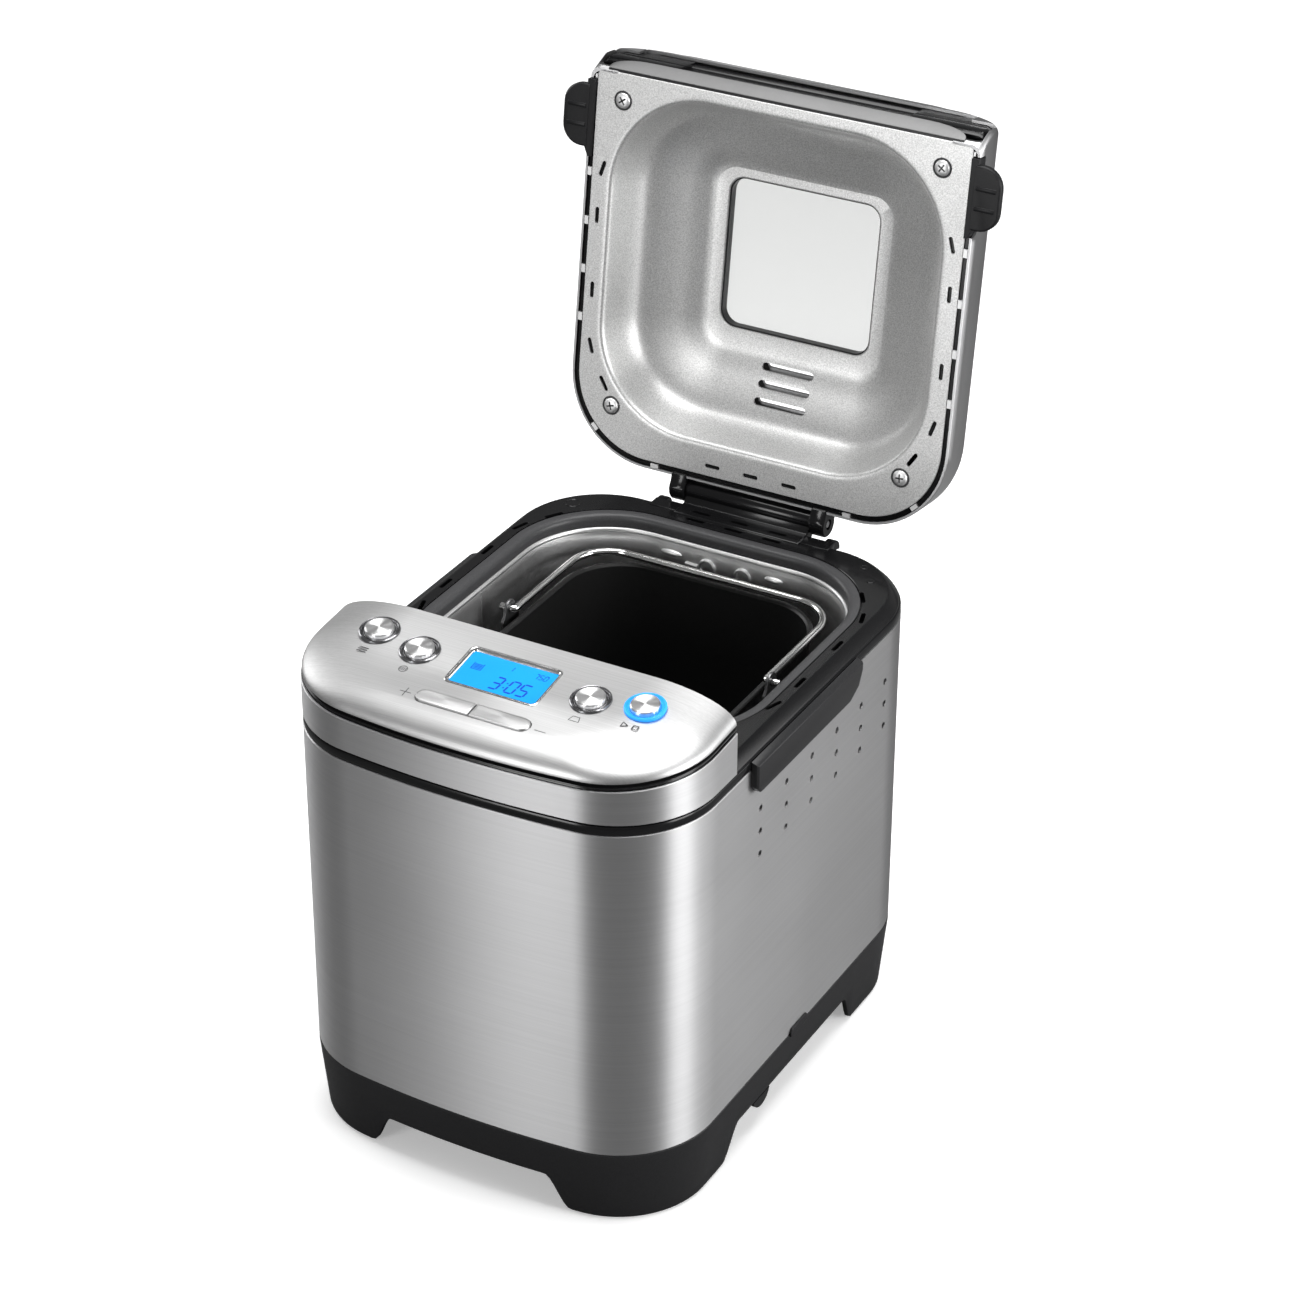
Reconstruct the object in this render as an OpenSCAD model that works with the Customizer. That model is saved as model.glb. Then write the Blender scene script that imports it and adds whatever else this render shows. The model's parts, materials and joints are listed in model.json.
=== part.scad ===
// Bread machine with a brushed steel wrap, a sloping control head at the front and a
// domed lid with a window, hinged at the back.
// Origin: on the floor, in the middle of everything, the open lid included. +Z up, the
// front faces -Y, +X is the right side as seen from the front. Millimetres. The pieces are
// drawn about the middle of the body, then moved back to that origin. The lid stands open.

/* [Body] */
// Width of the body across its steel wrap
body_w = 225; // [190:1:270]
// Depth of the body from the bowed front to the back
body_d = 300; // [255:1:360]
// Height of the black base tray
base_h = 42.8; // [38:0.1:55]
// Height of the steel wrap above the base tray
wrap_h = 188.6; // [160:0.1:230]
// Corner radius at the front
front_r = 53.4; // [40:0.1:60]
// Corner radius at the back
rear_r = 52.6; // [40:0.1:60]
// Radius of the bowed front
bow_r = 600; // [450:10:900]
// Sheet thickness of the wrap and the band
sheet_t = 1.2; // [0.8:0.1:2]
// Wall thickness of the plastic mouldings
wall_t = 2.6; // [2:0.1:4]

/* [Base] */
// How far the skirt leans in at its foot
skirt_lean = 3.8; // [0:0.1:6]
// Height of the arches between the legs
arch_h = 20; // [14:0.5:26]
// Length of each leg at the front, from the side wall to the arch
leg_front = 53; // [40:1:65]
// Length of each leg at the side, from the front wall to the arch
leg_side = 76; // [60:1:95]
// Run of the S-curve at each end of an arch
arch_ease = 14; // [8:0.5:20]
// Radius of the rubber feet
foot_r = 11; // [8:0.5:14]
// Distance from a foot's centre to the outer walls
foot_inset = 31; // [29:0.5:38]

/* [Side vents] */
// Radius of one vent hole
vent_r = 1.8; // [1:0.1:3]
// Vent columns on each side
vent_columns = 6; // [3:1:8]
// Distance between vent columns
vent_pitch_y = 27.8; // [14:0.1:30]
// Distance between vent rows
vent_pitch_z = 13.3; // [8:0.1:18]
// Distance from the wrap's top edge down to the first row
vent_drop = 27.4; // [24:0.1:40]

/* [Deck] */
// Width of the black deck between the wrap and the oven chamber
deck_w = 19.5; // [18:0.1:26]
// Height of the deck's outer edge above the wrap
deck_edge_h = 5.2; // [4:0.1:8]
// Rise from the outer edge to the flat of the deck
deck_rise = 6.1; // [4:0.1:9]
// Width of the sloping outer border
deck_bevel = 6.5; // [5:0.1:8]
// Distance from the back of the body to the oven chamber
deck_rear = 25.5; // [22:0.1:34]
// Length of one locating slot
slot_l = 11; // [8:0.5:14]
// Width of one locating slot
slot_w = 2.4; // [1.6:0.1:3]

/* [Control head] */
// Depth of the control head from the front of the body
head_d = 77.5; // [72:0.5:90]
// Height of the steel band at the front
band_h = 17.8; // [14:0.1:24]
// Slope of the band's top edge, degrees
band_slope = 4.1; // [2:0.1:6]
// Gap between the wrap and the band
band_gap = 6; // [5.4:0.1:8]
// Height of the grooved frame between the band and the cap
groove_h = 4.2; // [3:0.1:6]
// Height of the cap above the frame at its rear edge
cap_rise = 14; // [10:0.1:20]
// Slope of the panel, degrees
panel_slope = 8.5; // [6:0.1:12]
// Width of the roll at each side of the cap
cap_roll = 45; // [30:1:50]
// Run of the roll at the front of the cap
cap_front_roll = 15; // [10:1:24]
// Radius of a round button
button_r = 7.4; // [5:0.1:8]
// Outside radius of a button's ring
ring_r = 10.5; // [9:0.1:11]
// Distance from the middle to the inner pair of buttons
button_inner_x = 48; // [44:0.5:52]
// Distance from the middle to the outer pair of buttons
button_outer_x = 74.7; // [70:0.5:78]
// Travel of a button or key
press = 1.0; // [0.6:0.1:1.5]
// Width of the display's rim
lcd_w = 52; // [40:1:58]
// Height of the display's rim up the slope
lcd_h = 30; // [22:1:32]
// Length of the pair of keys
keys_l = 63; // [50:1:70]
// Width of a key
keys_w = 9; // [7:0.5:10]

/* [Oven chamber and pan] */
// Length of the oven chamber from front to back
chamber_l = 186; // [165:1:215]
// Corner radius of the oven chamber
chamber_r = 50; // [36:1:60]
// Height of the chamber's floor above the chassis plate
chamber_up = 21.5; // [18:0.5:30]
// Clearance between the pan's rim and the chamber at each side
pan_gap_x = 22; // [19:0.5:32]
// Clearance between the pan's rim and the chamber at front and back
pan_gap_y = 11; // [9:0.5:18]
// Corner radius of the pan
pan_r = 34; // [24:1:40]
// How far the pan's rim sits below the chamber's rim
pan_drop = 14; // [10:0.5:24]
// How much each side of the pan leans in towards its floor
pan_lean = 6; // [2:0.5:9]
// Wall thickness of the pan
pan_t = 1.6; // [1.2:0.1:2.4]
// Radius of the bail's wire
bail_r = 2; // [1.5:0.1:2.5]
// Radius of the drive spindle
spindle_r = 4; // [3.5:0.1:5]
// Length of the kneading paddle's blade
blade_l = 46; // [36:1:56]

/* [Drive] */
// Radius of the large pulley
pulley_r = 50; // [42:1:56]
// Radius of the motor's pulley
motor_pulley_r = 9; // [7:0.5:12]
// Radius of the motor
motor_r = 33; // [26:0.5:34]
// Height of the motor
motor_h = 66; // [50:1:80]
// Distance of the motor to the left of the middle
motor_x = 42; // [30:1:50]
// Running clearance of a shaft in its bush
run_fit = 0.05; // [0.02:0.01:0.1]

/* [Lid] */
// Height of the lid's side walls
lid_side_h = 19; // [14:0.5:24]
// Total height of the lid over its window
lid_dome_h = 46; // [40:0.5:54]
// Border between the lid's shell and its liner
lid_border = 4.1; // [3:0.1:6]
// Angle that the lid opens to, degrees
lid_open = 98; // [90:1:105]
// Distance of the hinge axis behind the body
hinge_back = 6; // [4:0.5:10]
// Height of the hinge axis above the flat of the deck
hinge_up = 6.3; // [5:0.1:9]
// Radius of the hinge pin
hinge_pin_r = 2; // [1.5:0.1:2.5]
// Half the width of the hinge's middle knuckle
knuckle_half = 37.5; // [30:0.5:45]
// Width of each hinge ear
ear_w = 9; // [7:0.5:12]
// Depth of the bowl in the lid's liner
bowl_h = 38; // [30:0.5:42]
// Half the width of the window's opening
window_x = 44.5; // [34:0.5:48]
// Half the length of the window's opening
window_y = 41.5; // [32:0.5:46]
// How far the lifting tabs stand out at the sides
tab_out = 14; // [10:0.5:18]
// Length of a lifting tab
tab_l = 34; // [26:1:40]

/* [Hidden] */
$fn = 40;

gap = 0.3;                    // clearance between neighbouring bodies
touch = 0.1;                  // hairline left between fixed neighbours
over = 1;                     // how far a cutter runs past the face it cuts
half_w = body_w / 2;
front_y = -body_d / 2;
rear_y = body_d / 2;
bow_y = front_y + bow_r;      // centre of the bowed front
corner_x = half_w - front_r;  // centres of the two front corners
corner_y = bow_y - sqrt(pow(bow_r - front_r, 2) - corner_x * corner_x);
bow_half = asin(corner_x / (bow_r - front_r));  // half the angle that the bow spans
wrap_top = base_h + wrap_h;
deck_edge_z = wrap_top + deck_edge_h;
deck_z = deck_edge_z + deck_rise;
deck_lip = 7.4;               // depth of the deck's inner wall
head_y = front_y + head_d;    // rear edge of the control head
band_z0 = wrap_top + band_gap;
panel_z = band_top(head_y) + groove_h + cap_rise;
rim_z = deck_z - deck_lip;    // chamber's rim
chassis_z = base_h + 0.6;
chassis_t = 1.5;
floor_z = chassis_z + chassis_t + chamber_up;
chamber_hx = half_w - deck_w;
chamber_y1 = rear_y - deck_rear;
chamber_y0 = chamber_y1 - chamber_l;
drive_y = (chamber_y0 + chamber_y1) / 2;
chamber_t = 1;
pan_top = rim_z - pan_drop;
pan_hx = chamber_hx - pan_gap_x;
pan_hy = chamber_l / 2 - pan_gap_y;
pan_floor = floor_z + 16;
motor_y = chamber_y0 - chamber_t - motor_r - 6;
belt_z = base_h - 11;
belt_h = 6;
belt_t = 1.5;
belt_gap = 0.15;
hinge_y = rear_y + hinge_back;
hinge_z = deck_z + hinge_up;
lid_z = deck_z + 1.96;        // the liner's flange with the lid shut
liner_hx = half_w - lid_border;
liner_y1 = rear_y - 5.5;
liner_y0 = head_y + 7.8;
liner_t = 0.9;
shell_t = 1.4;
shell_y0 = head_y + 0.9;
shell_y1 = rear_y - 1;
lid_crown_y = shell_y0 + 47;  // front edge of the dome's flat top
bowl_y0 = liner_y0 + 7.5;
bowl_y1 = liner_y1 - 18.5;
bowl_hx = liner_hx - 12.4;
shell_r = 48.5;               // rear corners of the lid's shell
liner_r = 44.5;               // rear corners of its liner
fold_half = liner_hx - 6;     // half the length of the liner's folded front edge
fold_h = 7.4;
ear_x = knuckle_half + gap + ear_w / 2;
window_cy = (bowl_y0 + bowl_y1) / 2 - 4;
steel = [0.74, 0.74, 0.75];
black = [0.09, 0.09, 0.1];

// ---------- outlines ----------
// Points along an arc, from angle a0 to a1 in n steps
function arc(c, r, a0, a1, n) =
    [for (i = [0:n]) c + r * [cos(a0 + (a1 - a0) * i / n), sin(a0 + (a1 - a0) * i / n)]];
// Height of the band's top edge at y
function band_top(y) = band_z0 + band_h + (y - front_y) * tan(band_slope);
// Height of the panel at y
function panel_at(y) = panel_z + (y - head_y) * tan(panel_slope);
// Plan of the body, moved inwards by i: bowed front, round corners, flat back
function body_pts(i) = concat(
    arc([0, bow_y], bow_r - i, 270 - bow_half, 270 + bow_half, 8),
    arc([corner_x, corner_y], front_r - i, 270 + bow_half, 360, 9),
    arc([half_w - rear_r, rear_y - rear_r], rear_r - i, 0, 90, 9),
    arc([rear_r - half_w, rear_y - rear_r], rear_r - i, 90, 180, 9),
    arc([-corner_x, corner_y], front_r - i, 180, 270 - bow_half, 9));
// Rounded rectangle with half width hx, from y0 to y1, and corner radius r
function box_pts(hx, y0, y1, r, n = 7) = concat(
    arc([hx - r, y0 + r], r, 270, 360, n), arc([hx - r, y1 - r], r, 0, 90, n),
    arc([r - hx, y1 - r], r, 90, 180, n), arc([r - hx, y0 + r], r, 180, 270, n));
// Plan of the lid, with a straight front whose corners are rf and whose back ones are rr
function lid_pts(hx, y0, y1, rf, rr) = concat(
    arc([hx - rf, y0 + rf], rf, 270, 360, 5), arc([hx - rr, y1 - rr], rr, 0, 90, 9),
    arc([rr - hx, y1 - rr], rr, 90, 180, 9), arc([rf - hx, y0 + rf], rf, 180, 270, 5));
function at_z(pts, z) = [for (p = pts) [p[0], p[1], z]];

// Closed solid through a list of rings with the same number of points
module loft(rings) {
    n = len(rings[0]);
    m = len(rings);
    polyhedron(
        points = [for (r = rings) for (p = r) p],
        faces = concat(
            [[for (i = [0:n - 1]) i]],
            [for (k = [0:m - 2]) for (i = [0:n - 1])
                [k * n + i, (k + 1) * n + i, (k + 1) * n + (i + 1) % n]],
            [for (k = [0:m - 2]) for (i = [0:n - 1])
                [k * n + i, (k + 1) * n + (i + 1) % n, k * n + (i + 1) % n]],
            [[for (i = [n - 1:-1:0]) (m - 1) * n + i]]),
        convexity = 8);
}
module prism(pts, z0, z1) {
    translate([0, 0, z0]) linear_extrude(z1 - z0) polygon(pts);
}
// A wall of thickness t that follows the body's plan
module body_wall(i, t, z0, z1) {
    difference() {
        prism(body_pts(i), z0, z1);
        prism(body_pts(i + t), z0 - over, z1 + over);
    }
}
module box(x0, x1, y0, y1, z0, z1) {
    translate([x0, y0, z0]) cube([x1 - x0, y1 - y0, z1 - z0]);
}
module rod(r, h) { cylinder(r = r, h = h); }
// Puts children on the panel: x across, s down the slope from its rear edge
module on_panel(x, s, h = 0) {
    translate([0, head_y, panel_z]) rotate([panel_slope, 0, 0]) translate([x, -s, h])
        children();
}
// Turns the shut lid about its hinge to where it stands open
module open_lid() {
    translate([0, hinge_y, hinge_z]) rotate([-lid_open, 0, 0])
        translate([0, -hinge_y, -hinge_z]) children();
}
module slot_cut(l, w, z0, z1) {
    for (s = [-1, 1]) translate([s * (l - w) / 2, 0, z0]) cylinder(d = w, h = z1 - z0, $fn = 16);
    box(-(l - w) / 2, (l - w) / 2, -w / 2, w / 2, z0, z1);
}
// The ring of locating slots that the deck and the lid's liner share: [x, y, angle]
slot_x = half_w - 9;
slot_y0 = chamber_y0 + 47;
slot_places = concat(
    [for (s = [-1, 1]) [s * (slot_x - 1.5), slot_y0, 90 - s * 17]],
    [for (s = [-1, 1], k = [1, 2.6]) [s * slot_x, slot_y0 + 26 * k, 90]],
    [for (s = [-1, 1]) [s * (slot_x - 1.5), chamber_y1 - 40, 90 + s * 17]],
    [for (s = [-1, 1]) [s * (slot_x - 11), chamber_y1 - 20.5, 90 + s * 32]],
    [for (x = [-23, 0, 23]) [x, chamber_y1 + 11.2, 0]]);

// ---------- base ----------
// Half the arch's outline as a smooth S, h high, from x0 at the floor to x1 at the top
function ease_pts(x0, x1, h) =
    [for (i = [0:6]) [x0 + (x1 - x0) * (1 - cos(180 * i / 6)) / 2, h * i / 6]];
module arch_cut(half, len) {
    left = ease_pts(-half, arch_ease - half, arch_h);
    right = [for (i = [6:-1:0]) [-left[i][0], left[i][1]]];
    rotate([90, 0, 0]) linear_extrude(len, center = true)
        polygon(concat([[-half, -over]], left, right, [[half, -over]]));
}
base_floor = arch_h + 4;
module base_tray() {
    skirt_foot = 1;
    color(black) difference() {
        union() {
            difference() {
                loft([at_z(body_pts(skirt_lean), skirt_foot),
                    at_z(body_pts(0), base_h - 3), at_z(body_pts(0), base_h)]);
                loft([at_z(body_pts(skirt_lean + wall_t), -over),
                    at_z(body_pts(skirt_lean / 2 + wall_t), base_floor)]);
                prism(body_pts(sheet_t + wall_t), base_floor + wall_t, base_h + over);
            }
            for (p = foot_places) translate([p[0], p[1], 3.4]) rod(foot_r + 2, base_floor - 3);
        }
        arch_cut(half_w - leg_front, body_d + 20);
        rotate([0, 0, 90]) arch_cut(rear_y - leg_side, body_w + 20);
        for (p = post_places) translate([p[0], p[1], base_floor - over]) rod(pilot_r, 10);
        translate([0, drive_y, base_floor - over]) rod(7, 10);
    }
    color(black) for (p = post_places) difference() {
        translate([p[0], p[1], base_floor + wall_t]) rod(5, base_h - base_floor - wall_t);
        translate([p[0], p[1], base_floor - over]) rod(pilot_r, 40);
    }
    // small drip tab under each side
    color(black) for (s = [-1, 1]) intersection() {
        translate([s * (half_w - skirt_lean - 1.5), -34, arch_h + 3]) rotate([0, 90, 0])
            cylinder(r = 10, h = 2, center = true);
        box(-half_w, half_w, -50, -20, arch_h - 3.5, arch_h + 0.2);
    }
}
foot_places = [for (x = [-1, 1], y = [-1, 1]) [x * (half_w - foot_inset), y * (rear_y - foot_inset)]];
post_inset = 17;              // from a screw post's centre to the side wall
post_places = [for (x = [-1, 1], y = [-1, 0.15, 1]) [x * (half_w - post_inset), y * (rear_y - 62)]];
pilot_r = 1.6;                // bore that a self-tapping screw cuts into
module rubber_feet() {
    color([0.14, 0.14, 0.14]) for (p = foot_places) translate([p[0], p[1], 0]) rod(foot_r, 3.3);
}
module bottom_cover() {
    color([0.12, 0.12, 0.12]) difference() {
        union() {
            translate([0, drive_y, base_floor - 2.3]) rod(pulley_r + 6, 2.2);
            translate([0, drive_y, base_floor - 4.6]) rod(pulley_r - 8, 2.4);
        }
        for (k = [-2:2]) translate([0, drive_y + k * 12, 0])
            slot_cut(50 - abs(k) * 6, 3, base_floor - 8, base_floor + 2);
        for (a = [45:90:359]) translate([0, drive_y, 0]) rotate([0, 0, a])
            translate([pulley_r + 1, 0, 0]) rod(1.7, 60);
    }
}
// Screw with a domed head down and a cross recess
module screw(r, len, head_r, head_h) {
    difference() {
        union() {
            translate([0, 0, -head_h]) cylinder(r1 = head_r * 0.75, r2 = head_r, h = head_h);
            rod(r, len);
        }
        for (a = [0, 90]) rotate([0, 0, a])
            box(-head_r * 0.55, head_r * 0.55, -0.4, 0.4, -head_h - over, -head_h * 0.45);
    }
}
module base_screws() {
    color(steel) {
        for (p = post_places) translate([p[0], p[1], base_floor - touch]) screw(1.5, 14, 3, 1.6);
        for (a = [45:90:359]) translate([0, drive_y, base_floor - 2.4]) rotate([0, 0, a])
            translate([pulley_r + 1, 0, 0]) screw(1.4, 2, 2.8, 1.4);
    }
}

// ---------- chassis and drive ----------
module chassis_plate() {
    color([0.62, 0.63, 0.64]) difference() {
        prism(body_pts(sheet_t + 0.8), chassis_z, chassis_z + chassis_t);
        translate([-motor_x, motor_y, 0]) rod(9, 100);
        translate([0, drive_y, 0]) rod(13, 100);
        for (x = [-1, 1], k = [-1:1]) translate([x * (half_w - 38), drive_y + k * 40, 0])
            slot_cut(24, 5, base_h - 5, base_h + 8);
    }
}
module motor_body() {
    z0 = chassis_z + chassis_t + touch;
    color([0.55, 0.56, 0.58]) translate([-motor_x, motor_y, z0]) difference() {
        union() {
            rod(motor_r, 8);
            translate([0, 0, 8]) rod(motor_r - 4, motor_h - 16);
            translate([0, 0, motor_h - 8]) rod(motor_r, 8);
            for (a = [0:60:359]) rotate([0, 0, a]) translate([motor_r - 4.5, 0, 0])
                rod(3.4, motor_h);
        }
        translate([0, 0, -over]) rod(4 + run_fit, motor_h + 2 * over);
    }
}
module motor_shaft() {
    color(steel) translate([-motor_x, motor_y, belt_z - 4.8])
        rod(4, chassis_z + chassis_t + motor_h + 18 - belt_z);
}
module motor_pulley() {
    color([0.8, 0.78, 0.7]) translate([-motor_x, motor_y, belt_z - 4.5]) difference() {
        union() {
            rod(motor_pulley_r, 9);
            rod(motor_pulley_r + 2, 1.2);
            translate([0, 0, 7.8]) rod(motor_pulley_r + 2, 1.2);
        }
        translate([0, 0, -over]) rod(4, 9 + 2 * over);
    }
}
module motor_fan() {
    z0 = chassis_z + chassis_t + motor_h + 4;
    color([0.85, 0.85, 0.82]) translate([-motor_x, motor_y, z0]) difference() {
        union() {
            rod(7, 9);
            rod(motor_r - 6, 1.2);
            for (a = [0:45:359]) rotate([0, 0, a]) translate([6, -0.7, 0])
                cube([motor_r - 13, 1.4, 8]);
        }
        translate([0, 0, -over]) rod(4, 9 + 2 * over);
    }
}
// Outline of a belt round both pulleys, grown by g, in the frame of the pulleys' line
belt_span = norm([motor_x, drive_y - motor_y]);
belt_lean = asin((pulley_r - motor_pulley_r) / belt_span);
function belt_pts(g) = concat(
    arc([belt_span, 0], pulley_r + g, -90 - belt_lean, 90 + belt_lean, 30),
    arc([0, 0], motor_pulley_r + g, 90 + belt_lean, 270 - belt_lean, 18));
module drive_belt() {
    color([0.15, 0.15, 0.15]) translate([-motor_x, motor_y, belt_z - belt_h / 2])
        rotate([0, 0, atan2(drive_y - motor_y, motor_x)]) difference() {
            prism(belt_pts(belt_gap + belt_t), 0, belt_h);
            prism(belt_pts(belt_gap), -over, belt_h + over);
        }
}
module large_pulley() {
    color([0.82, 0.8, 0.74]) translate([0, drive_y, belt_z - 4]) difference() {
        union() {
            rod(pulley_r, 8);
            rod(10, 10);
        }
        translate([0, 0, 2]) difference() {
            rod(pulley_r - 4, 20);
            translate([0, 0, -over]) rod(10, 30);
        }
        for (a = [0:60:359]) rotate([0, 0, a]) translate([pulley_r * 0.55, 0, -over]) rod(8, 20);
        translate([0, 0, -over]) rod(spindle_r, 30);
    }
}
module drive_shaft() {
    color(steel) translate([0, drive_y, belt_z - 5]) rod(spindle_r, coupler_z + 3.4 - belt_z + 5);
}
coupler_z = floor_z + chamber_t + 0.6;
coupler_h = 5.2;
dog_h = 4.6;
// Two drive dogs on a hub, facing up, with a blind bore for the shaft
module drive_coupler() {
    color([0.7, 0.7, 0.71]) translate([0, drive_y, coupler_z]) difference() {
        union() {
            rod(9, coupler_h);
            for (a = [0, 180]) rotate([0, 0, a]) translate([3, -2, coupler_h - 0.1])
                cube([5.6, 4, dog_h]);
        }
        translate([0, 0, -over]) rod(spindle_r, over + 3.4);
    }
}
module bearing_housing() {
    z0 = chassis_z + chassis_t;
    color([0.6, 0.61, 0.62]) translate([0, drive_y, 0]) difference() {
        union() {
            translate([0, 0, z0]) rod(30, 3);
            translate([0, 0, z0]) rod(15, chamber_up - touch);
            translate([0, 0, z0 - chassis_t - 1]) rod(12, 5);
            for (a = [0:90:359]) rotate([0, 0, a]) translate([12, -1.2, z0 + 2]) cube([14, 2.4, 9]);
        }
        translate([0, 0, base_floor]) rod(7, 100);
    }
}
module shaft_bush() {
    z0 = chassis_z + chassis_t;
    color([0.72, 0.55, 0.3]) translate([0, drive_y, z0 + 1]) difference() {
        rod(6.9, chamber_up);
        translate([0, 0, -over]) rod(spindle_r + run_fit, chamber_up + 2 * over);
    }
}

// ---------- oven chamber ----------
module oven_chamber() {
    hx = chamber_hx;
    color([0.5, 0.5, 0.51]) difference() {
        union() {
            prism(box_pts(hx, chamber_y0, chamber_y1, chamber_r), floor_z, rim_z);
            prism(box_pts(hx + 5, chamber_y0 - 5, chamber_y1 + 5, chamber_r + 5),
                rim_z - chamber_t, rim_z);
        }
        prism(box_pts(hx - chamber_t, chamber_y0 + chamber_t, chamber_y1 - chamber_t,
            chamber_r - chamber_t), floor_z + chamber_t, rim_z + over);
        translate([0, drive_y, floor_z - over]) rod(8.2, 4);
        for (s = [-1, 1]) translate([s * heater_term_x, chamber_y0, heater_z])
            rotate([90, 0, 0]) cylinder(r = 5, h = 12, center = true);
        translate([0, chamber_y0, sensor_z]) rotate([90, 0, 0]) cylinder(r = 3.4, h = 12, center = true);
    }
}
heater_r = 3.2;
heater_z = floor_z + 14;
heater_term_x = 24;
heater_bend = 30;
heater_hx = chamber_hx - 12;
heater_y0 = chamber_y0 + 9;
heater_y1 = chamber_y1 - 6.5;
sensor_z = floor_z + 26;
module tube_x(x0, x1, y) {
    translate([x0, y, heater_z]) rotate([0, 90, 0]) cylinder(r = heater_r, h = x1 - x0, $fn = 24);
}
module tube_y(x, y0, y1) {
    translate([x, y1, heater_z]) rotate([90, 0, 0]) cylinder(r = heater_r, h = y1 - y0, $fn = 24);
}
module tube_bend(x, y, a) {
    translate([x, y, heater_z]) rotate([0, 0, a]) rotate_extrude(angle = 90, $fn = 48)
        translate([heater_bend, 0]) circle(heater_r, $fn = 24);
}
module heater_element() {
    b = heater_bend;
    color([0.35, 0.35, 0.36]) {
        tube_x(b - heater_hx, heater_hx - b, heater_y1);
        for (s = [-1, 1]) {
            tube_y(s * heater_hx, heater_y0 + b, heater_y1 - b);
            tube_y(s * heater_term_x, chamber_y0 - 12, heater_y0 - heater_r);
        }
        tube_x(b - heater_hx, -heater_term_x + heater_r, heater_y0);
        tube_x(heater_term_x - heater_r, heater_hx - b, heater_y0);
        tube_bend(heater_hx - b, heater_y1 - b, 0);
        tube_bend(b - heater_hx, heater_y1 - b, 90);
        tube_bend(b - heater_hx, heater_y0 + b, 180);
        tube_bend(heater_hx - b, heater_y0 + b, 270);
    }
}
module heater_brackets() {
    color([0.66, 0.66, 0.67]) {
        for (s = [-1, 1], y = [-30, 30]) translate([s * heater_hx, drive_y + y, 0])
            box(-4, 4, -4, 4, floor_z + chamber_t + touch, heater_z - heater_r - touch);
        for (s = [-1, 1]) translate([s * heater_term_x, chamber_y0 - touch, heater_z])
            rotate([90, 0, 0]) difference() {
                cylinder(r = 7, h = 4);
                translate([0, 0, -over]) cylinder(r = heater_r + touch, h = 6);
            }
    }
}
module temperature_sensor() {
    color([0.7, 0.7, 0.7]) translate([0, chamber_y0 + 7, sensor_z]) rotate([90, 0, 0]) {
        cylinder(r = 2.5, h = 16);
        translate([0, 0, 7 + touch]) cylinder(r = 6, h = 3);
    }
}
socket_r = 30;
module pan_socket() {
    z0 = floor_z + chamber_t + touch;
    color([0.68, 0.68, 0.69]) translate([0, drive_y, z0]) {
        difference() {
            rod(socket_r, 2);
            translate([0, 0, -over]) rod(10.5, 5);
        }
        for (a = [0:90:359]) rotate([0, 0, a]) translate([socket_r - 4.4, 0, 0]) {
            box(0, 1.2, -6, 6, 1.9, 9);
            translate([1.2, 0, 8]) rotate([90, 0, 0]) cylinder(r = 1, h = 12, center = true);
        }
    }
}

// ---------- outer casing ----------
vent_y0 = drive_y - 78;
vent_rows = 3;
module outer_casing() {
    color(steel) difference() {
        body_wall(0, sheet_t, base_h + touch, wrap_top);
        for (c = [0:vent_columns - 1], r = [0:vent_rows - 1])
            translate([0, vent_y0 + c * vent_pitch_y, wrap_top - vent_drop - r * vent_pitch_z])
                rotate([0, 90, 0]) cylinder(r = vent_r, h = body_w + 20, center = true, $fn = 20);
        for (x = [-2:2], r = [0:3]) translate([x * 14, rear_y, base_h + 60 + r * 10])
            rotate([90, 0, 0]) cylinder(r = vent_r, h = 20, center = true, $fn = 20);
        translate([gland_x, rear_y, gland_z]) rotate([90, 0, 0]) cylinder(r = 7.2, h = 20, center = true);
    }
}
module casing_clips() {
    color(black) for (s = [-1, 1]) difference() {
        translate([s * (half_w + 0.8), 1, base_h + 1.2]) cube([1.4, 19.5, 5], center = true);
        for (e = [-1, 1]) translate([s * (half_w + 1.6), 1 + e * 9.8, base_h + 3.8])
            rotate([e * 45, 0, 0]) cube([4, 3, 3], center = true);
    }
}
gland_x = 48;
gland_z = base_h + 17;
module cord_gland() {
    color(black) translate([gland_x, rear_y, gland_z]) rotate([90, 0, 0]) difference() {
        union() {
            translate([0, 0, -2.5]) cylinder(r = 10, h = 2.4);
            translate([0, 0, -2]) cylinder(r = 7, h = 14);
            translate([0, 0, sheet_t + touch]) cylinder(r = 9, h = 3);
        }
        translate([0, 0, -6]) cylinder(r = 3.6, h = 30);
    }
}

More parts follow.
